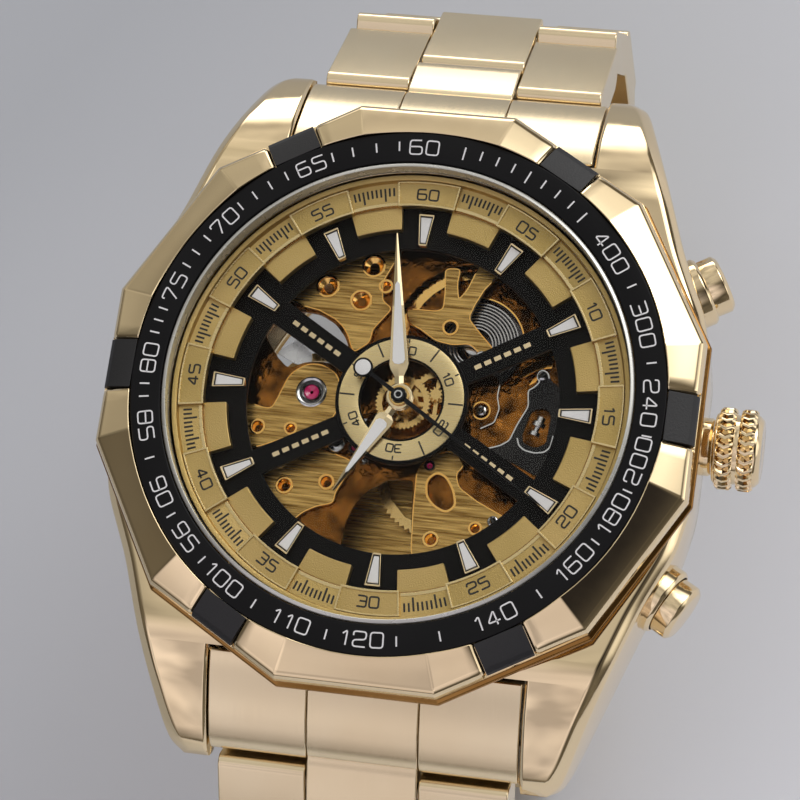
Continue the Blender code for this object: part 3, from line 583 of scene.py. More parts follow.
# --- case ---------------------------------------------------------------------
CASE_BORE = 16.95
LUG_ROOT, LUG_TIP = 18.6, 25.6
BORE_EDGE, LUG_EDGE, FLANK_EDGE = 0.02, 0.22, 0.75
EDGE = soften([(0, 2), (0, 1), (1, 0), (2, 0)], 0.35, 3, closed=False)[1:-1]
TOP_CURVE = soften(CASE_TOP, 1.4, 8, closed=False, least=1)
UNDER_CURVE = soften(CASE_UNDER, 1.4, 8, closed=False, least=1)


def at_height(profile, y):
    """What a profile of (Y, value) points gives at a distance from the middle."""
    return float(np.interp(abs(y), [p[0] for p in profile], [p[1] for p in profile]))


def loft(sections):
    """Closed sections with equal point counts, joined in turn, with flat ends."""
    count = len(sections[0])
    points = [p for section in sections for p in section]
    ends = [[*range(count)], [*range(len(points) - count, len(points))]]
    return mesh_from(points, ends + bands(len(sections), count))


def case_section(y, x_in, x_out, edge_in):
    """The case's cross-section at a distance from its middle, with its long edges rounded."""
    top, under = at_height(TOP_CURVE, y), at_height(UNDER_CURVE, y)
    edge_out = min(FLANK_EDGE, 0.42 * (top - under), 0.4 * (x_out - x_in))
    edge_in = min(edge_in, 0.3 * (top - under), 0.3 * (x_out - x_in))
    low_edge = min(0.4, 0.3 * (top - under))
    points = [(x_out - a * low_edge, y, under + b * low_edge) for a, b in EDGE[::-1]]
    points += [(x_out - a * edge_out, y, top - b * edge_out) for a, b in EDGE]
    points += [(x_in + a * edge_in, y, top - b * edge_in) for a, b in EDGE[::-1]]
    points += [(x_in + a * edge_in, y, under + b * edge_in) for a, b in EDGE]
    return points


def case_half():
    """The right half of the case, as sections from the middle to the lugs' tips and their mirror image."""
    flank = [(y, x) for x, y in soften(CASE_FLANK, 1.1, 6, closed=False, least=3)]
    sections = []
    for y in [0.5 * i for i in range(37)] + [LUG_ROOT]:
        x_in = math.sqrt(CASE_BORE**2 - y**2) if y < 16.9 else 0.0
        sections.append(case_section(y, x_in, at_height(flank, y), BORE_EDGE))
    tips = [LUG_TIP - 1.1 * (1 - math.cos(math.radians(9 * i))) for i in range(10)]
    for y in [LUG_ROOT] + [18.8 + 0.3 * i for i in range(19)] + tips[::-1]:
        if y >= sections[-1][0][1]:
            sections.append(case_section(y, HALF_LUG_GAP, at_height(flank, y), LUG_EDGE))
    mirrored = [[(x, -y, z) for x, y, z in section] for section in sections[1:][::-1]]
    return loft(mirrored + sections)


def make_case():
    right, left = case_half(), case_half()
    left.transform(Matrix.Scale(-1, 4, (1, 0, 0)))
    left.flip_normals()
    piece("case_body", joined(right, left), GOLD, replaces=["mid_case"])
    give(GOLD, "crown_tube")
    give(STEEL, "spring_bar_12", "spring_bar_6")
    profile = [
        (12.42, 0.0), (17.4, 0.0), (18.05, 0.45), (18.2, 0.9), (18.2, 2.38), (16.0, 2.38), (12.42, 1.0),
    ]
    back = lathe(soften(profile, 0.18, 4), 180)
    piece("case_back_ring", back, SATIN, replaces=["case_back"])
    rings = [washer(radius, radius + 0.12, 0, 0.03, steps=120) for radius in (13.3, 16.6)]
    piece("case_back_turned_lines", rings, GOLD)
    window = [(0, 0.05), (12.2, 0.05), (12.32, 0.14), (12.32, 0.74), (12.2, 0.83), (0, 0.83)]
    piece("case_back_glass", lathe(window, 144), GLASS, replaces=["case_back_window"])


def give(metal, *nodes):
    """Gives solids that show as they are their finish."""
    for node in nodes:
        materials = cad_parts[node].data.materials
        materials.clear()
        materials.append(metal)


# --- bezel --------------------------------------------------------------------
FACET_SLOPE = 0.43
BEZEL_FACE = soften(
    [
        (18.84, 11.35), (18.84, 12.02), (20.5, 11.3), (20.71, 11.15), (20.86, 10.93), (20.94, 10.65),
        (20.97, 10.35), (20.97, 10.1), (20.8, 9.95),
        (20.82, 9.75), (21.2, 9.55), (21.2, 9.1), (20.7, 8.7), (20.5, 8.45), (16.3, 8.45), (16.3, 10.5),
        (16.6, 10.55), (16.6, 11.35),
    ],
    0.14, 6, closed=True, least=10,
)
# Nearer than this the bezel is round, and further out it has twelve sides.
ROUND_PART = 19.1
OUTER_EDGE_FROM = 20.0
# Heights: over the first the round part rises to meet the facets, and under the second the gold is painted
# darker: painted shade and dark reflection where the bezel meets the case.
SLOPING_FROM, SKIRT_TOP = 11.5, 9.9
# The slots: half width, where they start, and how their upper corners round off and pull the face in.
SLOT_HALF = 1.79
SLOT_FROM = 18.0
SLOT_ROUND, SLOT_PULL = 0.42, 0.8


def slot_floor(out):
    """Height of a slot's floor at a distance from the middle."""
    return float(np.interp(out, (19.2, 21.8), (11.2, 10.2)))


def bezel_column(facet, share, side_of_slot=None, inside_slot=False):
    """One column of the bezel's face: facet angle, and how far across the facet it is, from -1 to 1."""
    points = []
    for out, height in BEZEL_FACE:
        is_round = out < ROUND_PART
        reach = out * (math.sin if is_round else math.tan)(math.radians(15))
        if side_of_slot is None:
            across = share * reach
        elif inside_slot:
            across = share * SLOT_HALF
        else:
            across = side_of_slot * (SLOT_HALF + share * (reach - SLOT_HALF))
        drop = 0.0
        if side_of_slot is not None and not inside_slot and height > slot_floor(out):
            away = min(abs(across) - SLOT_HALF, SLOT_ROUND)
            drop = SLOT_ROUND - math.sqrt(SLOT_ROUND**2 - (SLOT_ROUND - away) ** 2)
        depth = out
        if is_round:
            depth = math.sqrt(out**2 - across**2)
        elif out > OUTER_EDGE_FROM:
            depth = out - SLOT_PULL * drop
        if inside_slot and out > SLOT_FROM:
            height = min(height, slot_floor(out))
        elif drop:
            height = max(height - SLOT_PULL * drop, slot_floor(out))
        if is_round and height > SLOPING_FROM and not inside_slot:
            height += FACET_SLOPE * (out - depth)
        c, s = polar(1, facet)
        points.append((depth * c - across * s, depth * s + across * c, height))
    return points


def make_bezel():
    columns = []
    for i in range(12):
        facet = 30 * i
        if facet in TAB_ANGLES:
            shares = (0.0, 0.006, 0.02, 0.045, 0.08, 0.13, 0.3, 0.5, 0.7, 0.88, 0.955, 0.988)
            columns += [bezel_column(facet, share, -1) for share in shares[::-1]]
            columns += [bezel_column(facet, k / 2, 0, True) for k in (-2, -1, 0, 1, 2)]
            columns += [bezel_column(facet, share, 1) for share in shares]
        else:
            shares = (0.15, 0.35, 0.55, 0.75, 0.9, 0.965, 0.99)
            columns += [bezel_column(facet, -share) for share in shares[::-1]]
            columns += [bezel_column(facet, share) for share in (0.0,) + shares]
    points = [p for column in columns for p in column]
    ring = mesh_from(points, bands(len(columns), len(BEZEL_FACE), wrap=True))
    # Faces below the skirt's top take the darker gold, as painted shade.
    for face in ring.polygons:
        face.material_index = int(face.center.z < SKIRT_TOP)
    piece("bezel_ring", ring, [GOLD, PAINTED_SHADE_GOLD], replaces=["bezel"], smooth=9)

    insert = washer(INSERT_IN, INSERT_OUT, 11.4, INSERT_TOP, 0.1, 4, 240)
    piece("bezel_insert_face", insert, BLACK, replaces=["bezel_insert"])
    side = [(18.82, 11.39), (19.3, 11.38), (20.9, 10.6), (20.95, 10.72), (20.86, 11.02), (20.55, 11.32)]
    side.append((18.82, 11.9))
    tabs = []
    for angle in TAB_ANGLES:
        tab = swept(soften(side, 0.08, 3), -TAB_HALF, TAB_HALF)
        tab.transform(Matrix.Rotation(math.radians(angle - 90), 4, "Z"))
        tabs.append(tab)
    piece("bezel_tabs", tabs, GRAPHITE, bevel=0.09, bevel_angle=50, segments=3)
    make_scale()


# Clock angle, number, and whether its tops face outward.
SCALE = (
    (358.6, "60", True), (50.7, "400", True), (69.4, "300", True), (87.7, "240", True),
    (101.1, "200", False), (114.5, "180", False), (128.2, "160", False), (149.2, "140", False),
    (179.2, "120", False), (195.8, "110", False), (214.0, "100", False), (227.3, "95", False),
    (239.4, "90", False), (255.5, "85", False), (271.5, "80", True), (289.0, "75", True),
    (308.1, "70", True), (331.9, "65", True),
)
SCALE_TICKS = (
    8, 12, 16, 20, 24, 28, 32, 36, 40, 60, 78.5, 95.3, 108.3, 121.5, 138.2, 161.8, 171.4, 187.2, 205,
    220.7, 233.4, 247.8, 262.4, 265.4, 277.6, 280.5, 283.4, 294.8, 298.5, 302.6, 313.2, 317.3, 321.5, 325.8,
    337.2, 342, 347.5, 352.8,
)
LONG_TICKS = (8, 24, 40)


def make_scale():
    low, high = INSERT_TOP - 0.02, INSERT_TOP + 0.012
    parts = []
    for angle, text, outward in SCALE:
        parts += numeral(text, 1.04, 0.105, 17.72, angle, low, high, outward)
    for angle in SCALE_TICKS:
        start = 17.2 if angle in LONG_TICKS else 17.45
        parts.append(tick(start, 18.15, 0.11, angle, low, high))
    piece("speed_scale", parts, PAINT)


# --- crystal and dial ---------------------------------------------------------
def make_crystal():
    dome = [
        (0, 10.72), (16.15, 10.72), (16.24, 10.8), (16.24, 12.02), (16.1, 12.2), (15.75, 12.5),
        (15.45, 12.6), (13.5, 12.65), (11, 12.69), (8, 12.72), (4, 12.74), (0, 12.745),
    ]
    piece("crystal_dome", lathe(dome, 192), GLASS, replaces=["crystal"])
    seal = soften([(16.27, 10.62), (16.57, 10.62), (16.57, 11.86), (16.27, 11.98)], 0.1, 3)
    piece("crystal_seal", lathe(seal, 192), SEAL, replaces=["crystal_gasket"])


ARM_ANGLES = (30, 150, -30, -150)
# Heights of the printed faces, and how far print reaches into and out of a face.
PLATE_FACE, TRACK_FACE, CENTRE_FACE = 10.22, 9.98, 9.1
PRINT_LOW, PRINT_HIGH = -0.01, 0.012


def make_dial():
    ring = slab([circle(16.2, 180)], DIAL_UNDER, DIAL_TOP, [circle(11.1, 144)])
    hub = slab([circle(4.72, 96)], DIAL_UNDER, DIAL_TOP, [circle(2.95, 72)])
    arms = slab([bar(4.3, 11.6, 0.84, 0.93, angle) for angle in ARM_ANGLES], 8.57, DIAL_TOP - 0.004)
    piece("dial_plate", joined(ring, hub, arms), DIAL_BLACK, replaces=["dial"], bevel=0.05)
    marks = []
    for angle in ARM_ANGLES:
        for start in (5.6, 6.35, 7.1, 7.85, 8.6, 9.35):
            dash = bar(start, start + 0.5, 0.16, 0.16, angle)
            marks.append(slab([dash], DIAL_TOP - 0.02, DIAL_TOP + 0.02))
    piece("arm_dashes", marks, GOLD)
    make_indices()
    make_chapter_ring()
    make_minute_print()
    make_centre_ring()


def make_indices():
    frames, inlays, beds = [], [], []
    for hour in range(12):
        angle = 90 - 30 * hour
        opening = bar(11.33, 13.42, 0.235, 0.465, angle)
        frames.append(slab([soften(bar(11.2, 13.55, 0.29, 0.56, angle), 0.07, 2)], 8.9, 9.62, [opening]))
        beds.append(slab([bar(11.31, 13.44, 0.25, 0.48, angle)], 8.9, 9.5))
        inlays.append(slab([bar(11.43, 13.32, 0.17, 0.385, angle)], 9.4, 9.58))
    piece("index_frames", frames, GOLD, bevel=0.03)
    piece("index_beds", beds, INK)
    piece("index_lume", inlays, LUME, bevel=0.04)


def make_chapter_ring():
    """The minute track, with raised plates at the hours and blocks between them."""
    profile = [(14.08, 9.0), (14.08, 9.98), (15.72, 9.98), (15.8, 10.45), (16.15, 10.5), (16.15, 9.0)]
    piece("chapter_base", lathe(soften(profile, 0.06, 3), 240), BLAST_GOLD, replaces=["chapter_ring"])
    # The inner wall is painted darker gold, as painted shade beside the blocks.
    piece("chapter_inner_wall", washer(13.98, 14.07, 9.0, 9.9, steps=240), PAINTED_SHADE_GOLD)
    plates, rims, blocks, caps = [], [], [], []
    for i in range(12):
        middle = 90 + 30 * i
        whole = sector(13.92, 15.74, middle - 8.4, middle + 8.4, 10)
        field = sector(14.08, 15.62, middle - 7.85, middle + 7.85, 10)
        plates.append(slab([whole], 9.62, PLATE_FACE))
        rims.append(slab([whole], 10.2, 10.33, [field]))
        middle += 15
        blocks.append(slab([sector(12.34, 14.36, middle - 7.5, middle + 7.5, 10)], 9.02, 9.72))
        caps.append(slab([sector(14.05, 14.3, middle - 6.6, middle + 6.6)], 9.9, 10.02))
    piece("hour_plates", plates, BLAST_GOLD, bevel=0.03)
    piece("hour_plate_rims", rims, RING_GOLD, bevel=0.03)
    piece("half_hour_blocks", blocks, BLAST_GOLD, bevel=0.09)
    piece("track_edges", caps, RING_GOLD, bevel=0.03)


def make_minute_print():
    """Minute numbers on the plates, and ticks at every fifth of a minute between the plates."""
    parts = []
    for hour in range(12):
        outward = not 3 < hour < 9
        low, high = PLATE_FACE + PRINT_LOW, PLATE_FACE + PRINT_HIGH
        parts += numeral(f"{hour * 5 or 60:02d}", 0.76, 0.13, 14.8, 30 * hour, low, high, outward, 0.28)
        for fifth in range(8, 18):
            start = 14.42 if fifth in (10, 15) else 14.78
            low, high = TRACK_FACE + PRINT_LOW, TRACK_FACE + PRINT_HIGH
            parts.append(tick(start, 15.4, 0.14, 30 * hour + 1.2 * fifth, low, high))
    piece("minute_print", parts, INK)


def make_centre_ring():
    ring = washer(3.05, 4.45, 8.96, CENTRE_FACE, 0.03, 2, 144)
    piece("centre_scale_ring", ring, RING_GOLD, replaces=["centre_ring"])
    outer = lathe([(4.47, 8.93), (4.72, 8.93), (4.68, 9.12), (4.49, 9.12)])
    piece("centre_ring_borders", joined(washer(2.93, 3.03, 8.93, 9.14, steps=144), outer), DIAL_BLACK)
    low, high = CENTRE_FACE + PRINT_LOW, CENTRE_FACE + PRINT_HIGH
    parts = []
    for tens in range(1, 7):
        parts += numeral(f"{10 * tens}", 0.56, 0.11, 3.58, 60 * tens, low, high, True, 0.25)
        parts.append(tick(4.12, 4.42, 0.1, 60 * tens, low, high))
        parts.append(tick(3.35, 4.42, 0.12, 60 * tens + 30, low, high))
    piece("centre_print", parts, INK)


# --- hands --------------------------------------------------------------------
MINUTE_REACH = 12.1


def roof_hand(name, tip, lume_from, lume_to, low, high, angle, body, bore):
    """A ridged hand: narrow stem, wide shoulder, long taper, with a lume inlay sunk into its ridge."""
    scale = tip / MINUTE_REACH
    shape = [
        (0.4, 0.30), (1.45, 0.33), (2.0 * (0.5 + scale / 2), 0.60), (2.35 * (0.5 + scale / 2), 0.68),
        (0.55 * tip, 0.40), (tip - 0.05, 0.05),
    ]
    sections = []
    for a, b in shape:
        edge = high - 0.09
        sections.append([(a, b, low), (a, b, edge), (a, 0.0, high), (a, -b, edge), (a, -b, low)])
    blade = loft(sections)
    hub = lathe([(bore, low), (0.95, low), (0.95, high - 0.06), (0.88, high), (bore, high)], 48)
    whole = joined(blade, hub)
    whole.transform(Matrix.Rotation(math.radians(angle), 4, "Z"))
    piece(f"{name}_gold", whole, GOLD, body=body, replaces=[name], bevel=0.012, bevel_angle=20, smooth=5)

    widths = [np.interp(a, [p[0] for p in shape], [p[1] for p in shape]) for a in (lume_from, lume_to)]
    half_from, half_to = 0.66 * widths[0], 0.55 * widths[1]
    inlay = [(lume_to, half_to), (lume_to + 0.25, 0.0), (lume_to, -half_to), (lume_from + 0.3, -half_from)]
    inlay += [(lume_from + 0.08, -0.7 * half_from), (lume_from, 0.0), (lume_from + 0.08, 0.7 * half_from)]
    inlay.append((lume_from + 0.3, half_from))
    lume = slab([turn_points(inlay, angle)], high - 0.06, high + 0.02)
    piece(f"{name}_lume", lume, LUME, body=body, bevel=0.015)


def make_hands():
    roof_hand("hour_hand", 8.1, 1.95, 6.3, 9.38, 9.58, 90 - 208, "hours", 0.74)
    roof_hand("minute_hand", 12.07, 2.3, 8.2, 9.78, 9.98, 90 + 9, "minutes", 0.46)
    angle = 90 - 122
    blade = [(-2.95, 0.12), (0, 0.16), (5, 0.12), (12.85, 0.035), (12.85, -0.035), (5, -0.12), (0, -0.16)]
    blade.append((-2.95, -0.12))
    needle = slab([turn_points(blade, angle)], 10.12, 10.24)
    disc_at = polar(3.3, angle + 180)
    rim = washer(0.56, 0.7, 10.1, 10.28, 0.04, at=disc_at)
    whole = joined(needle, rim, washer(0, 0.52, 10.1, 10.4, 0.08))
    piece("seconds_needle", whole, BLACK, body="seconds", replaces=["seconds_hand"], bevel=0.03)
    piece("seconds_hub_ring", washer(0.2, 0.3, 10.36, 10.43, steps=32), STEEL, body="seconds")
    disc = lathe([(0, 10.1), (0.57, 10.1), (0.57, 10.25), (0.5, 10.27), (0, 10.27)], 48)
    piece("seconds_dot", moved(disc, *disc_at), LUME, body="seconds")
    piece("seconds_collar", washer(0.55, 0.72, 10.02, 10.2, 0.05), BRASS, body="seconds")


# --- movement -----------------------------------------------------------------
# Outlines on the dial side of the plates.
UPPER_LEFT = [
    (-10.4, 7.4), (-9.2, 9.4), (-7.1, 10.9), (-5.2, 11.7), (-1.95, 12.3), (-1.9, 11.3), (-2.87, 8.9),
    (-2.69, 7.5), (-1.91, 7.0), (-3.09, 5.31), (-3.16, 4.36), (-4.16, 3.53), (-4.45, 3.9), (-4.73, 4.62),
    (-5.3, 5.4), (-5.95, 5.87), (-7.16, 6.39), (-8.33, 6.59),
]
LOWER_LEFT = [
    (-10.8, -6.0), (-10.2, -4.6), (-8.2, -4.1), (-5.51, -3.73), (-3.39, -4.33), (-2.83, -4.68),
    (-3.5, -5.7), (-4.02, -6.85), (-4.01, -7.56), (-5.2, -7.9), (-6.2, -8.5), (-6.9, -9.4), (-9.4, -8.6),
]
LOWER_RIGHT = [
    (1.55, -4.42), (2.3, -3.5), (3.31, -3.01), (4.1, -2.93), (4.84, -3.97), (4.32, -4.54), (4.66, -5.52),
    (6.07, -6.38), (8.6, -7.5), (9.2, -8.4), (6.4, -10.8), (2.9, -12.3), (1.97, -10.45), (1.7, -7.5),
]
OVAL_SLOT = [
    (2.32, -5.26), (2.93, -4.58), (3.66, -4.81), (4.3, -5.7), (4.64, -6.84), (4.03, -7.41),
    (3.07, -7.01), (2.48, -6.36),
]
SPOKED_BRIDGE = [
    (-0.87, 7.1), (1.3, 7.1), (1.77, 7.35), (1.72, 8.6), (1.5, 10.3), (2.6, 10.4), (2.5, 9.3), (2.76, 8.08),
    (3.3, 8.9), (3.96, 10.9), (4.9, 11.2), (5.35, 10.2), (4.5, 9.0), (4.0, 7.9), (3.65, 6.8), (4.7, 5.7),
    (5.75, 4.71), (4.92, 4.21), (4.01, 4.96), (2.8, 4.75), (1.58, 4.93), (0.3, 5.7), (-0.62, 6.07),
]
COCK = [
    (-12.6, -0.6), (-11.39, -0.91), (-9.5, -1.3), (-9.12, -0.26), (-8.57, 1.46), (-7.46, 2.31),
    (-6.33, 2.4), (-5.11, 1.8), (-4.7, 0.48), (-4.85, -1.39), (-6.6, -2.5), (-8.4, -3.3), (-10.31, -4.2),
    (-11.9, -3.6),
]
BRIGHT_WINDOW = [
    (-10.9, 4.25), (-10.3, 5.4), (-8.6, 6.3), (-7.1, 6.2), (-5.9, 5.6), (-5.0, 4.6), (-4.5, 3.4),
    (-5.2, 2.6), (-6.4, 2.7), (-7.6, 2.6), (-8.9, 2.0), (-9.7, 2.7),
]
BOTTOM_VOID = [
    (-1.87, -6.4), (-0.6, -5.4), (1.3, -5.2), (1.5, -7.4), (2.0, -11.4), (-1.3, -11.4), (-3.2, -10.9),
    (-3.0, -8.6), (-2.6, -7.4),
]
RIGHT_WINDOW = [
    (4.5, 2.0), (4.46, -1.25), (6.04, -2.52), (7.6, -2.3), (9.3, -3.4), (10.9, -2.2), (11.2, 0.5),
    (10.9, 4.0), (9.7, 4.2), (8.8, 2.6), (7.2, 2.3), (5.8, 2.6),
]
BRIGHT_SHAPES = (
    [(-9.95, 3.2), (-8.57, 4.3), (-7.4, 3.4), (-7.3, 2.8), (-7.66, 2.3), (-8.58, 2.5)],
    [(-9.5, 5.6), (-8.0, 5.7), (-7.0, 5.4), (-5.6, 4.3), (-5.2, 3.5), (-5.7, 3.3), (-6.8, 4.5), (-8.2, 5.0)],
    [(-6.8, 2.7), (-6.2, 2.9), (-4.8, 2.1), (-4.9, 1.6), (-5.8, 2.2)],
)
LEVER_PLATE = [
    (9.2, 3.55), (9.8, 3.5), (10.1, 2.9), (10.9, 2.4), (11.2, 0.0), (10.9, -2.6), (9.94, -4.1),
    (6.25, -2.46), (7.71, -1.73), (8.12, -0.52), (8.72, 0.86), (8.56, 2.02), (9.18, 2.74), (8.97, 3.2),
]
LEVER_EDGE = [
    (9.92, 3.03), (9.8, 3.43), (9.37, 3.62), (9.1, 3.36), (9.08, 2.95), (9.32, 2.75), (8.95, 2.28),
    (8.56, 2.02), (8.72, 0.86), (8.12, -0.52), (7.71, -1.73), (7.13, -2.15), (6.25, -2.46),
]
SPRING_CLIP = [
    (8.25, -1.5), (8.42, -2.02), (8.86, -2.33), (9.58, -2.45), (10.27, -2.33), (10.64, -1.93), (10.75, -1.1),
]
PINION_OPENING = [
    (8.55, -1.2), (8.75, -1.85), (9.6, -2.05), (10.3, -1.7), (10.4, 0.5), (9.9, 0.9), (9.0, 0.6),
]
COPPER_ARC = [(7.79, 3.5), (8.82, 4.3), (10.1, 4.5), (10.2, 3.9), (9.0, 3.62), (8.05, 2.9)]
SMALL_BRIDGE = [
    (4.2, 1.85), (4.37, 2.33), (5.12, 3.0), (6.17, 2.81), (6.51, 2.4), (6.44, 1.36), (6.7, 0.51),
    (6.48, -0.54), (5.56, -1.07), (4.53, -0.89),
]
# Each plate's outline, corner radius, underside and top.
PLATES = (
    (UPPER_LEFT, 0.35, 7.0, 7.5), (LOWER_LEFT, 0.45, 7.0, 7.46), (LOWER_RIGHT, 0.4, 7.0, 7.46),
    (SPOKED_BRIDGE, 0.35, 6.92, 7.5), (COCK, 0.6, 7.06, 7.5),
)
# Middles and radii of the plates' holes, all with a lip and a countersink.
HOLES = (
    ((-6.8, 8.23), 0.78), ((-3.69, 10.04), 0.78), ((-4.23, 7.4), 0.72), ((-2.6, 8.6), 0.45),
    ((-7.72, -6.65), 0.55), ((-4.75, -6.1), 0.5), ((3.2, -9.4), 0.5), ((6.2, -8.3), 0.42),
    ((-10.3, -2.6), 0.5), ((-7.9, -2.5), 0.42),
)
SPOKES_PIVOT = (2.46, 6.0)
BALANCE_JEWEL_AT = (-6.8, 0.3)
SMALL_BRIDGE_SCREW_AT = (5.45, 0.23)
# Middles, radii and slot angles of the screws.
PLATE_SCREWS = (
    ((-4.43, -3.3), 0.62, 35), ((5.0, 4.0), 0.5, 70), ((-8.3, -5.1), 0.4, 10), ((7.4, -7.7), 0.42, 120),
)
BACK_SCREWS = ((9.0, 4.0), (2.2, 11.0), (10.6, -4.5), (-5.5, -9.8), (-10.0, 1.4))


def add_screws(name, slot_name, rows, low, metal):
    """Domed screws in one piece, and their slots in another."""
    top = low + 0.22
    heads, slots = [], []
    for spot, radius, angle in rows:
        profile = [(0, low), (radius, low), (radius, low + 0.12), (radius - 0.08, top), (0, top + 0.03)]
        heads.append(moved(lathe(soften(profile[:4], 0.05, 2)[:-1] + [profile[4]], 40), *spot))
        reach = 0.86 * radius
        slots.append(slab([bar(-reach, reach, 0.07, 0.07, angle, spot)], top - 0.02, top + 0.035))
    piece(name, heads, metal)
    piece(slot_name, slots, INK)


def jewel(name, spot, low, setting):
    """A ruby with its oil cup, in a polished setting whose groove is painted dark, as a dark reflection."""
    shape = ((0.5, 0), (1, 0), (1, 0.18), (0.9, 0.24), (0.78, 0.15), (0.66, 0.15), (0.6, 0.22), (0.5, 0.16))
    ring = moved(lathe([(setting * a, low + b) for a, b in shape], 64), *spot)
    # Faces near the middle take dark steel: painted dark reflection in the groove and inner ring.
    for face in ring.polygons:
        face.material_index = int(math.dist(face.center[:2], spot) < 0.8 * setting)
    piece(f"{name}_setting", ring, [STEEL, DARK_STEEL], smooth=40)
    shape = ((0.1, -0.05), (0.48, -0.05), (0.48, 0.1), (0.4, 0.16), (0.16, 0.06), (0.1, 0.02))
    stone = lathe([(setting * a, low + b) for a, b in shape], 48)
    piece(f"{name}_stone", moved(stone, *spot), RUBY)


def make_plates():
    windows = [circle(5.88, 96, BARREL_AT), soften(BRIGHT_WINDOW, 0.4), soften(BOTTOM_VOID, 0.4)]
    windows += [circle(1.2, 40), circle(0.33, 20, THIRD_AT), circle(0.3, 20, ESCAPE_AT)]
    windows += [circle(0.33, 20, BALANCE_AT)] + [circle(radius, 32, spot) for spot, radius in HOLES[:2]]
    windows.append(sector(1.9, 4.3, 196, 246, 12))
    bored = slab([circle(13.45, 180)], 6.76, 7.04, windows)
    piece("main_plate_base", bored, COPPER, replaces=["main_plate"], bevel=0.05)

    openings = [soften(OVAL_SLOT, 0.4), circle(0.5, 32, SPOKES_PIVOT), circle(0.9, 48, BALANCE_JEWEL_AT)]
    openings += [circle(radius, 32, spot) for spot, radius in HOLES]
    plates = [slab([soften(outline, corner)], low, high, openings) for outline, corner, low, high in PLATES]
    piece("dial_side_plates", plates, PLATE, bevel=0.07, segments=3)
    # Thin amber lines on the plates' edges and round the oval slot: painted highlights of polished bevels.
    lines = [ribbon(soften(row[0], row[1]), 0.04, 7.4, 7.51, closed=True) for row in PLATES]
    lines.append(ribbon(soften(OVAL_SLOT, 0.4), 0.08, 7.2, 7.5, closed=True))
    piece("plate_painted_highlight_edges", lines, AMBER)

    lips = [washer(radius - 0.1, radius + 0.1, 7.2, 7.53, 0.05, at=spot) for spot, radius in HOLES]
    lips.append(washer(0.42, 0.62, 7.2, 7.55, 0.05, at=SPOKES_PIVOT))
    piece("hole_lips", lips, AMBER)
    cones = []
    for spot, radius in HOLES:
        cone = [(0.45 * radius, 7.06), (0.97 * radius, 7.4), (0.97 * radius, 7.0), (0.45 * radius, 7.0)]
        cones.append(moved(lathe(cone, 40), *spot))
    piece("hole_countersinks", cones, AMBER)
    jewel("balance_jewel", BALANCE_JEWEL_AT, 7.36, 1.12)
    jewel("third_jewel", THIRD_AT, 7.42, 0.42)
    jewel("escape_jewel", (-3.1, -3.4), 7.3, 0.5)
    add_screws("plate_screws", "screw_slots", PLATE_SCREWS, 7.46, STEEL)

    bright = [soften(outline, 0.25) for outline in BRIGHT_SHAPES]
    piece("polished_windows", slab(bright, 6.4, 6.6), PEARL, bevel=0.06)
    make_keyless()


def make_keyless():
    """The winding works beside the crown: black lever plate with painted highlights along its edges, pinion,
    screw and bridge.
    """
    piece("keyless_well", slab([soften(RIGHT_WINDOW, 0.5)], 6.6, 6.7), COPPER)
    plate = slab([soften(LEVER_PLATE, 0.3)], 7.05, 7.2, [soften(PINION_OPENING, 0.3)])
    piece("lever_plate", plate, INK_STEEL, bevel=0.04)
    bridge = slab([soften(SMALL_BRIDGE, 0.4)], 6.9, 7.22, [circle(0.5, 32, SMALL_BRIDGE_SCREW_AT)])
    piece("small_bridge", bridge, COPPER, bevel=0.06)
    # Steel lines along the lever, spring and bridge edges: painted highlights of polished edges.
    rows = [(LEVER_EDGE, 0.045, 7.15, 7.27), (SPRING_CLIP, 0.05, 7.15, 7.3)]
    rows.append((SMALL_BRIDGE[3:9], 0.04, 7.18, 7.26))
    lines = [ribbon(soften(path, 0.2, 3, closed=False), half, low, high) for path, half, low, high in rows]
    piece("lever_painted_highlight_edges", lines, STEEL)
    piece("copper_arc", slab([soften(COPPER_ARC, 0.25)], 6.9, 7.04), AMBER, bevel=0.05)
    add_screws("lever_screw", "lever_screw_slot", [((9.44, 3.16), 0.36, 40)], 7.18, STEEL)
    rings = [(0.0, -0.75), (0.42, -0.75), (0.42, -0.45), (0.24, -0.4), (0.24, -0.1), (0.5, -0.06)]
    rings += [(0.5, 0.3), (0.34, 0.34), (0.34, 0.7), (0.0, 0.7)]
    pinion = lathe(rings, 40)
    piece("sliding_pinion_body", pinion, SPRING, at=(9.55, -0.45, 6.9), towards=(0.3, 1, 0), bevel=0.02)
    screw = [(SMALL_BRIDGE_SCREW_AT, 0.4, 65)]
    add_screws("small_bridge_screw", "small_bridge_screw_slot", screw, 7.1, SPRING)
    edge = ribbon(circle(0.62, 40, SMALL_BRIDGE_SCREW_AT), 0.05, 7.2, 7.28, closed=True)
    piece("small_bridge_screw_edge", [edge], AMBER)


def spiral(r_in, r_out, turns, half, low, high, at):
    """A flat spring as a ribbon on edge."""
    path = []
    for i in range(turns * 48 + 1):
        x, y = polar(r_in + (r_out - r_in) * i / (turns * 48), 360 * i / 48)
        path.append((at[0] + x, at[1] + y))
    return gathered([ribbon(path, half, low, high)])


def toothed(tip, root, teeth, at):
    """The outline of a toothed wheel."""
    outline = []
    for i in range(teeth * 4):
        x, y = polar(tip if i % 4 in (1, 2) else root, 90 * i / teeth)
        outline.append((at[0] + x, at[1] + y))
    return outline


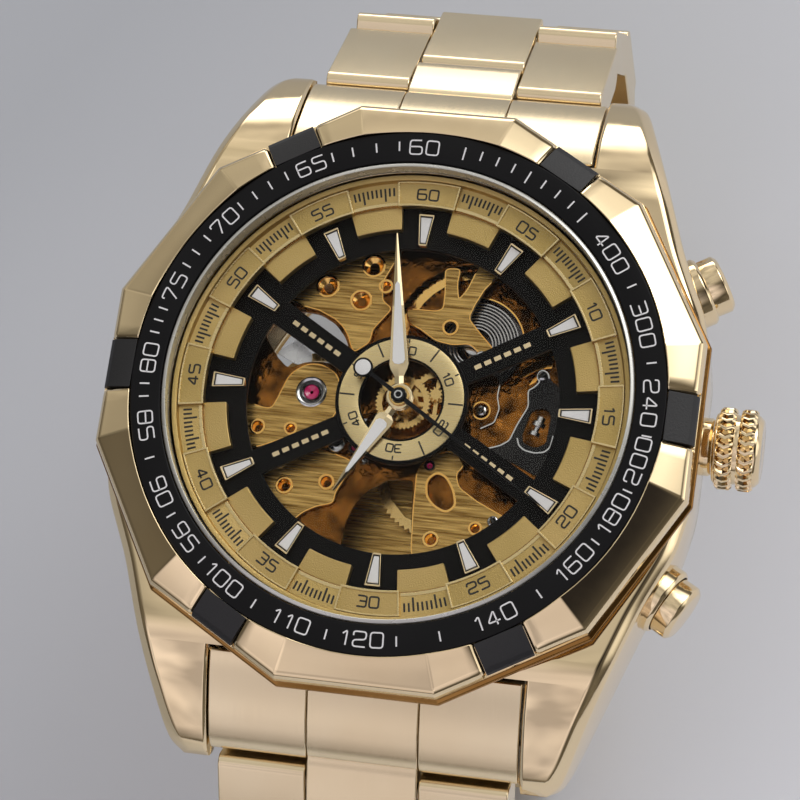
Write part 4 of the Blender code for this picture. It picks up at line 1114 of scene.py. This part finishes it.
def make_springs():
    coils = spiral(1.25, 3.35, 9, 0.04, 5.3, 6.25, BARREL_AT)
    piece("mainspring_coils", coils, SPRING, body="barrel", replaces=["mainspring"])
    floor = washer(0.9, 4.9, 5.07, 5.12, steps=96, at=BARREL_AT)
    piece("barrel_floor", floor, DARK_STEEL, body="barrel")
    rim = slab([toothed(5.0, 4.72, 66, BARREL_AT)], 5.3, 6.3, [circle(3.5, 96, BARREL_AT)])
    piece("barrel_toothed_rim", rim, COPPER, body="barrel", bevel=0.03)
    edge = ribbon(circle(3.55, 96, BARREL_AT), 0.05, 6.25, 6.36, closed=True)
    piece("barrel_rim_edge", [edge], AMBER, body="barrel")
    hair = spiral(0.5, 2.3, 8, 0.02, 4.0, 4.2, BALANCE_AT)
    piece("hairspring_coils", hair, STEEL, body="balance", replaces=["hairspring"])
    hub = washer(0, 0.8, 6.35, 6.62, 0.08, at=BARREL_AT)
    piece("barrel_arbor_top", hub, STEEL, body="ratchet")


# Solids of the movement that show as they are, by finish.
MOVEMENT_FINISHES = (
    (PLATE, ("barrel_bridge", "train_bridge", "balance_cock", "pallet_bridge")),
    (BRASS, ("fourth_wheel", "centre_wheel", "third_wheel", "balance_wheel", "minute_wheel")),
    (BRASS, ("hour_wheel", "cannon_pinion")),
    (AMBER, ["mainspring_barrel"]),
    (STEEL, ("escape_wheel", "pallet_fork", "ratchet_wheel", "crown_wheel", "winding_stem")),
    (STEEL, ("winding_pinion", "rotor_bearing")),
    (HOLDER, ["movement_holder"]),
)


def make_back_movement():
    """Bridges and rotor as seen through the case back."""
    for metal, nodes in MOVEMENT_FINISHES:
        give(metal, *nodes)
    wing = slab([sector(2.2, 12.3, -178, -2, 48)], 1.97, 2.28, [sector(4.2, 9.6, -160, -20, 32)])
    arms = slab([bar(3.6, 10.4, 0.35, 0.45, angle) for angle in (-125, -90, -55)], 1.99, 2.26)
    hub = washer(0.66, 2.3, 1.92, 2.33, 0.08, steps=64)
    piece("rotor_wing", joined(wing, arms, hub), RING_GOLD, body="rotor", replaces=["rotor"], bevel=0.05)
    rim = slab([sector(10.6, 12.5, -176, -4, 64)], 1.52, 1.98)
    piece("rotor_weight", rim, STEEL, body="rotor", bevel=0.1)
    heads, slots = [], []
    for x, y in BACK_SCREWS:
        heads.append(moved(lathe([(0, 2.62), (0.6, 2.62), (0.6, 2.5), (0.5, 2.42), (0, 2.42)], 40), x, y))
        slots.append(slab([bar(-0.5, 0.5, 0.07, 0.07, 30 * x, (x, y))], 2.405, 2.43))
    piece("bridge_screws", heads, STEEL)
    piece("bridge_screw_slots", slots, INK)


# --- crown and push buttons -----------------------------------------------------
def knurl_ring(low, high, teeth=26, phase=0.0):
    """A band of chevron teeth: each tooth leans one way to the middle of the band and back again."""
    rows = 6
    points = []
    steps = teeth * 6
    tooth_shape = (2.60, 2.74, 2.88, 2.90, 2.88, 2.74)
    for k in range(rows + 1):
        t = k / rows
        lean = (1 - abs(2 * t - 1)) * 0.42 * 360 / teeth
        inset = 0.16 if k in (0, rows) else 0.0
        for i in range(steps):
            radius = tooth_shape[i % 6] - inset
            x, y = polar(radius, 360 * i / steps + lean + phase)
            points.append((x, y, low + (high - low) * t))
    ends = [[*range(steps)][::-1], [rows * steps + i for i in range(steps)]]
    return mesh_from(points, bands(rows + 1, steps) + ends)


def make_crown():
    body = [
        (1.02, 21.78), (2.35, 21.78), (2.5, 21.9), (2.5, 22.0), (2.38, 22.1), (2.38, 23.05), (2.45, 23.15),
        (2.45, 23.6), (2.38, 23.66), (2.38, 24.5), (2.55, 24.62), (2.5, 24.82), (2.2, 25.1), (2.0, 25.15),
        (1.6, 25.12), (0, 25.12), (0, 23.2), (1.02, 23.2),
    ]
    core = lathe(soften(body, 0.05, 3, least=20), 120)
    knurls = [knurl_ring(22.02, 23.2), knurl_ring(23.52, 24.66, phase=7.0)]
    placed = {"at": (0, 0, CONTROL_Z), "towards": (1, 0, 0)}
    piece("crown_core", core, GOLD, body="crown", replaces=["crown"], **placed)
    collar_side = [(1.3, 20.3), (2.05, 20.3), (2.05, 21.5), (1.95, 21.68), (1.3, 21.68)]
    piece("crown_collar", lathe(collar_side, 96), GOLD, bevel=0.04, **placed)
    piece("crown_knurls", knurls, GOLD, body="crown", smooth=35, **placed)


def make_pushers():
    sleeve = [(0.87, 19.67), (2.5, 19.67), (2.5, 22.7), (2.32, 22.93), (2.2, 22.95), (2.2, 21.97)]
    sleeve = soften(sleeve + [(0.87, 21.97)], 0.07, 3)
    cap = [(0.76, 17.72), (0.76, 22.8), (2.1, 22.8), (2.12, 24.1), (1.82, 24.38), (1.0, 24.4)]
    cap = soften(cap, 0.08, 3, closed=False) + [(0, 24.4), (0, 17.72)]
    for hour, angle in ((2, 30), (4, -30)):
        placed = {"at": (0, 0, CONTROL_Z), "towards": (*polar(1, angle), 0)}
        name = f"pusher_sleeve_{hour}"
        piece(f"{name}_turned", lathe(sleeve, 96), GOLD, replaces=[name], **placed)
        name = f"pusher_{hour}"
        piece(f"pusher_cap_{hour}", lathe(cap, 96), GOLD, body=name, replaces=[name], **placed)


# --- bracelet -------------------------------------------------------------------
def hinge_points():
    """The hinges of one side of the bracelet as (Y, Z), from the case to the clasp."""
    points = [END_HINGE]
    for heading in HEADINGS:
        y, z = points[-1]
        dy, dz = polar(PITCH, heading)
        points.append((y + dy, z + dz))
    return points


def along_link(points, start, heading, side):
    """Points of a link's side view, as (along, out), placed from its hinge on the 12 or 6 o'clock side."""
    c, s = polar(1, heading)
    placed = [(start[0] + a * c - b * s, start[1] + a * s + b * c) for a, b in points]
    return placed if side > 0 else [(-y, z) for y, z in placed]


def rolled_edge(end, inwards, radius, top):
    """A quarter round from an end of a link up to its top."""
    turn = [polar(radius, angle) for angle in range(0, 91, 15)]
    return [(end + inwards * (radius - x), top - radius + y) for x, y in turn]


def link_side(low, high, round_low, round_high):
    """A link's side view between two places along it, with a rolled edge at one or both ends."""
    half = LINK_HALF - 0.02
    outline = [(low, -half + 0.9), (low, half), (high, half), (high, -half + 0.9)]
    outline += [(high - 0.9, -half), (low + 0.9, -half)]
    under = [point for point in soften(outline, 0.55, 5) if point[1] < -half + 0.92]
    under = sorted(under, key=lambda point: -point[0])
    return rolled_edge(low, 1, round_low, half) + rolled_edge(high, -1, round_high, half)[::-1] + under


def row_piece(name, outline, x_from, x_to, metal, body, replaces=()):
    """A bracelet piece: its side view swept across, with softened ends."""
    mesh = swept(outline, x_from, x_to)
    looks = {"bevel": 0.13, "bevel_angle": 60, "segments": 3, "smooth": 25}
    piece(name, mesh, metal, body=body, replaces=replaces, **looks)


def make_links(side, label):
    points = hinge_points()
    for number, heading in enumerate(HEADINGS):
        start = points[number]
        body = f"link_{label}_{number + 1}"
        half = (LINK_WIDTH - LINK_STEP * number) / 2
        outer_end = PITCH - END_REACH - LINK_GAP
        outer = link_side(-END_REACH, outer_end, *LINK_EDGES)
        outer = along_link(outer, start, heading, side)
        centre = link_side(END_REACH + LINK_GAP, PITCH + END_REACH, *LINK_EDGES)
        centre = along_link(centre, start, heading, side)
        row_piece(f"{body}_centre", centre, -CENTRE_HALF, CENTRE_HALF, SATIN, body, [body])
        row_piece(f"{body}_left", outer, -half, -CENTRE_HALF - 0.1, SATIN, body)
        row_piece(f"{body}_right", outer, CENTRE_HALF + 0.1, half, SATIN, body)
        joiner = [
            (END_REACH + 0.6, -LINK_HALF + 0.4), (outer_end - 0.6, -LINK_HALF + 0.4),
            (outer_end - 0.6, LINK_HALF - 0.5), (END_REACH + 0.6, LINK_HALF - 0.5),
        ]
        bar_side = along_link(joiner, start, heading, side)
        pin = along_link(circle(PIN_RADIUS, 24), start, heading, side)
        hidden = joined(swept(bar_side, -half + 1, half - 1), swept(pin, -half + 1, half - 1))
        piece(f"{body}_pin", hidden, STEEL, body=body)


def make_end_link(side, label):
    top = [
        (18.8, 1.6), (18.8, 8.05), (20.4, 7.3), (22.8, 5.82), (24.3, 4.62), (24.9, 3.9), (25.12, 3.3),
        (24.3, 2.5), (23.95, 1.2), (23.98, 0.1), (24.3, -0.6), (23.6, -0.5), (22.4, 0.6),
    ]
    wing = soften(top, 0.35, 4, least=12)
    if side < 0:
        wing = [(-y, z) for y, z in wing]
    name = f"end_link_{label}"
    row_piece(f"{name}_left", wing, -HALF_LUG_GAP + 0.13, -CENTRE_HALF - 0.04, SATIN, "case", [name])
    row_piece(f"{name}_right", wing, CENTRE_HALF + 0.04, HALF_LUG_GAP - 0.13, SATIN, "case")
    row_piece(f"{name}_middle", wing, -CENTRE_HALF, CENTRE_HALF, SATIN, "case")
    tongue = [
        (-3.9, -1.4), (-1.0, -1.55), (0.9, -1.55), (1.85, -0.6), (1.93, 0.6), (1.7, 1.3), (1.2, 1.56),
        (-1.9, 2.24), (-3.9, 1.95),
    ]
    tongue_side = along_link(soften(tongue, 0.4, 4, least=12), END_HINGE, -22, side)
    row_piece(f"{name}_tongue", tongue_side, -CENTRE_HALF, CENTRE_HALF, SATIN, "case")


def clasp_arc(r_in, r_out, start_y, end_y):
    """A curved strip's side view, round the middle of the clasp's curve."""
    last = hinge_points()[-1]
    middle_z = last[1] + math.sqrt(CLASP_RADIUS**2 - last[0] ** 2)
    ys = [start_y + (end_y - start_y) * i / 36 for i in range(37)]
    sides = []
    for radius in (r_out, r_in):
        spread = [y * radius / CLASP_RADIUS for y in ys]
        sides.append([(y, middle_z - math.sqrt(radius**2 - y**2)) for y in spread])
    return sides[0] + sides[1][::-1]


def make_clasp():
    """The cover keeps the solid's walls, ears and pin inside a smooth curved shell with raised rails."""
    last = hinge_points()[-1]
    give(CLASP_SATIN, "clasp_outer_blade", "clasp_inner_blade")
    cover = clasp_arc(*CLASP_SHELL, -CLASP_END + 0.02, last[0] - 2.32)
    row_piece("clasp_cover_shell", cover, -9.0, 9.0, CLASP_SATIN, "clasp_cover", ["clasp_cover"])
    wall = clasp_arc(*CLASP_WALL, -CLASP_END + 0.22, last[0] - 2.05)
    for name, low, high in (("a", 8.62, 9.28), ("b", -9.28, -8.62)):
        row_piece(f"clasp_wall_{name}", wall, low, high, CLASP_SATIN, "clasp_cover")
    heading = -180 + math.degrees(math.asin(last[0] / CLASP_RADIUS))
    ear = along_link(link_side(-END_REACH, 4.15, 0.6, 0.3), last, heading, 1)
    row_piece("clasp_ear_a", ear, CENTRE_HALF + 0.1, 9.12, CLASP_SATIN, "clasp_cover")
    row_piece("clasp_ear_b", ear, -9.12, -CENTRE_HALF - 0.1, CLASP_SATIN, "clasp_cover")
    pin = swept(along_link(circle(PIN_RADIUS, 24), last, heading, 1), -8.0, 8.0)
    piece("clasp_pin", pin, STEEL, body="clasp_cover")


# --- stage ----------------------------------------------------------------------
# Ground colours at the left and right: a painted light gradient, darker left and lighter right, standing in
# for the light's falloff.
GROUND_SHADED_LEFT, GROUND_LIT_RIGHT = (0.48, 0.505, 0.55), (0.86, 0.885, 0.96)
GROUND_SIDE = 3.0
# How far the painted light gradient slants towards 6 o'clock, and how far from the middle it stops changing,
# in metres.
GROUND_SLANT, GROUND_REACH = -0.4, 0.06


def ground_material():
    """A pale, faintly mottled ground, painted lighter to the right and, less, towards 6 o'clock, as painted
    light falloff.
    """
    material, nodes = new_material("pale_ground")
    where = nodes.add("ShaderNodeTexCoord", {}).outputs["Object"]
    axes = nodes.add("ShaderNodeSeparateXYZ", {"Vector": where}).outputs
    inputs = {0: axes["Y"], 1: GROUND_SLANT, 2: axes["X"]}
    slanted = nodes.add("ShaderNodeMath", inputs, operation="MULTIPLY_ADD")
    mottled = nodes.ranged(nodes.noise(4, detail=2), -0.01, 0.01)
    across = nodes.add("ShaderNodeMath", {0: slanted.outputs["Value"], 1: mottled}, operation="ADD")
    share = nodes.ranged(across.outputs["Value"], 0, 1, -GROUND_REACH, GROUND_REACH)
    color = nodes.mixed(share, GROUND_SHADED_LEFT, GROUND_LIT_RIGHT)
    inputs = {"Base Color": color, "Roughness": 0.85, "Specular IOR Level": 0.2}
    nodes.feed(nodes.tree.nodes["Principled BSDF"], inputs)
    return material


def make_floor():
    level = float(CAD_BOX[0][2]) - 0.0001
    mesh = bpy.data.meshes.new("floor")
    corners = [(a * GROUND_SIDE, b * GROUND_SIDE, level) for a, b in ((-1, -1), (1, -1), (1, 1), (-1, 1))]
    mesh.from_pydata(corners, [], [(0, 1, 2, 3)])
    mesh.materials.append(ground_material())
    add_object("floor", mesh)


def area_light(name, towards, distance, size, brightness):
    """A soft box: its brightness is what a mirror facing it shows, with 1 as full white."""
    data = bpy.data.lights.new(name, "AREA")
    data.shape = "RECTANGLE"
    data.size, data.size_y = size
    data.energy = brightness * math.pi * size[0] * size[1]
    light = add_object(name, data)
    spot = Vector(towards).normalized() * distance
    light.location = spot
    light.rotation_euler = (-spot).to_track_quat("-Z", "Y").to_euler()


# Soft patches of the room's light: towards, half angles where a patch is full and where it ends,
# brightness and colour. A polished face turned to a patch shows it, and a negative one darkens.
ROOM_PATCHES = (
    ((0.42, 0.60, 0.68), 13, 30, 2.6, (1.0, 0.99, 0.97)),
    ((-0.19, 0.98, -0.02), 8, 25, 3.2, (1.0, 0.98, 0.95)),
    ((-0.18, 0.86, 0.47), 9, 22, 0.50, (1.0, 0.97, 0.95)),
    ((-0.17, -0.70, 0.70), 24, 44, 0.66, (1.0, 0.94, 1.05)),
    ((-0.66, 0.56, 0.50), 14, 40, 0.30, (1.0, 0.98, 0.90)),
    ((-0.18, 0.25, 0.95), 10, 34, 0.38, (1.0, 0.99, 0.97)),
    ((0.95, 0.10, 0.25), 8, 26, 1.10, (1.0, 0.99, 0.97)),
    ((0.45, -0.13, 0.89), 4, 13, -0.10, (1.0, 0.90, 0.70)),
)
ROOM_BASE = (0.13, 0.118, 0.10)
ROOM_DARKEST, ROOM_BRIGHTEST = 0.66, 1.34
ROOM_GRAIN = 3.4


def make_room():
    """Soft studio light from all round, brighter in a few broad patches, and a little uneven."""
    world = bpy.data.worlds.new("soft_room")
    bpy.context.scene.world = world
    world.use_nodes = True
    nodes = Nodes(world.node_tree)
    where = nodes.add("ShaderNodeTexCoord", {}).outputs["Generated"]
    total = ROOM_BASE
    for towards, full, ends, brightness, color in ROOM_PATCHES:
        inputs = {0: where, 1: Vector(towards).normalized()}
        facing = nodes.add("ShaderNodeVectorMath", inputs, operation="DOT_PRODUCT")
        inputs = {
            "Value": facing.outputs["Value"], "To Max": brightness,
            "From Min": math.cos(math.radians(ends)), "From Max": math.cos(math.radians(full)),
        }
        fade = nodes.add("ShaderNodeMapRange", inputs, interpolation_type="SMOOTHSTEP").outputs["Result"]
        patch = nodes.add("ShaderNodeVectorMath", {0: fade, 1: color, 2: total}, operation="MULTIPLY_ADD")
        total = patch.outputs["Vector"]
    things = nodes.add("ShaderNodeTexNoise", {"Scale": ROOM_GRAIN, "Detail": 2.0, "Vector": where})
    depth = nodes.ranged(things.outputs["Fac"], ROOM_DARKEST, ROOM_BRIGHTEST, 0.35, 0.65)
    shaded = nodes.add("ShaderNodeVectorMath", {0: total, "Scale": depth}, operation="SCALE")
    nodes.feed(nodes.tree.nodes["Background"], {"Color": shaded.outputs["Vector"]})
    bpy.context.scene.view_settings.view_transform = "Standard"


# Name, direction, distance and size in metres, and brightness.
SOFT_BOXES = (
    ("key_right", (0.42, 0.60, 0.68), 0.75, (0.22, 0.20), 3.2),
    ("left_fill", (-0.60, 0.35, 0.72), 0.80, (0.20, 0.20), 0.55),
)
CAMERA_AT, CAMERA_TARGET = (37.687, -50.947, 203.867), (0.032, -0.200, 9.6)
CAMERA_ROLL = 8.426
LENS, SENSOR = 131.54, 36.0


def make_camera():
    """The viewing angle: above the 5 o'clock side, turned a little so that 12 leans right."""
    spot = Vector(CAMERA_AT)
    forward = (Vector(CAMERA_TARGET) - spot).normalized()
    up = (Vector((0, 1, 0)) - forward * forward.y).normalized()
    right = forward.cross(up)
    roll = math.radians(CAMERA_ROLL)
    top = math.cos(roll) * up - math.sin(roll) * right
    side = forward.cross(top)
    turn = Matrix((side, top, -forward)).transposed().to_4x4()
    data = bpy.data.cameras.new("camera")
    data.lens = LENS
    data.sensor_width = SENSOR
    data.clip_start = 0.001
    camera = add_object("camera", data)
    camera.matrix_world = Matrix.Translation(spot * MM) @ turn
    bpy.context.scene.camera = camera


make_case()
make_bezel()
make_crystal()
make_dial()
make_hands()
make_plates()
make_springs()
make_back_movement()
make_crown()
make_pushers()
for bracelet_side, side_label in ((1, "12"), (-1, "6")):
    make_end_link(bracelet_side, side_label)
    make_links(bracelet_side, side_label)
make_clasp()
make_floor()
make_room()
for soft_box in SOFT_BOXES:
    area_light(*soft_box)
make_camera()
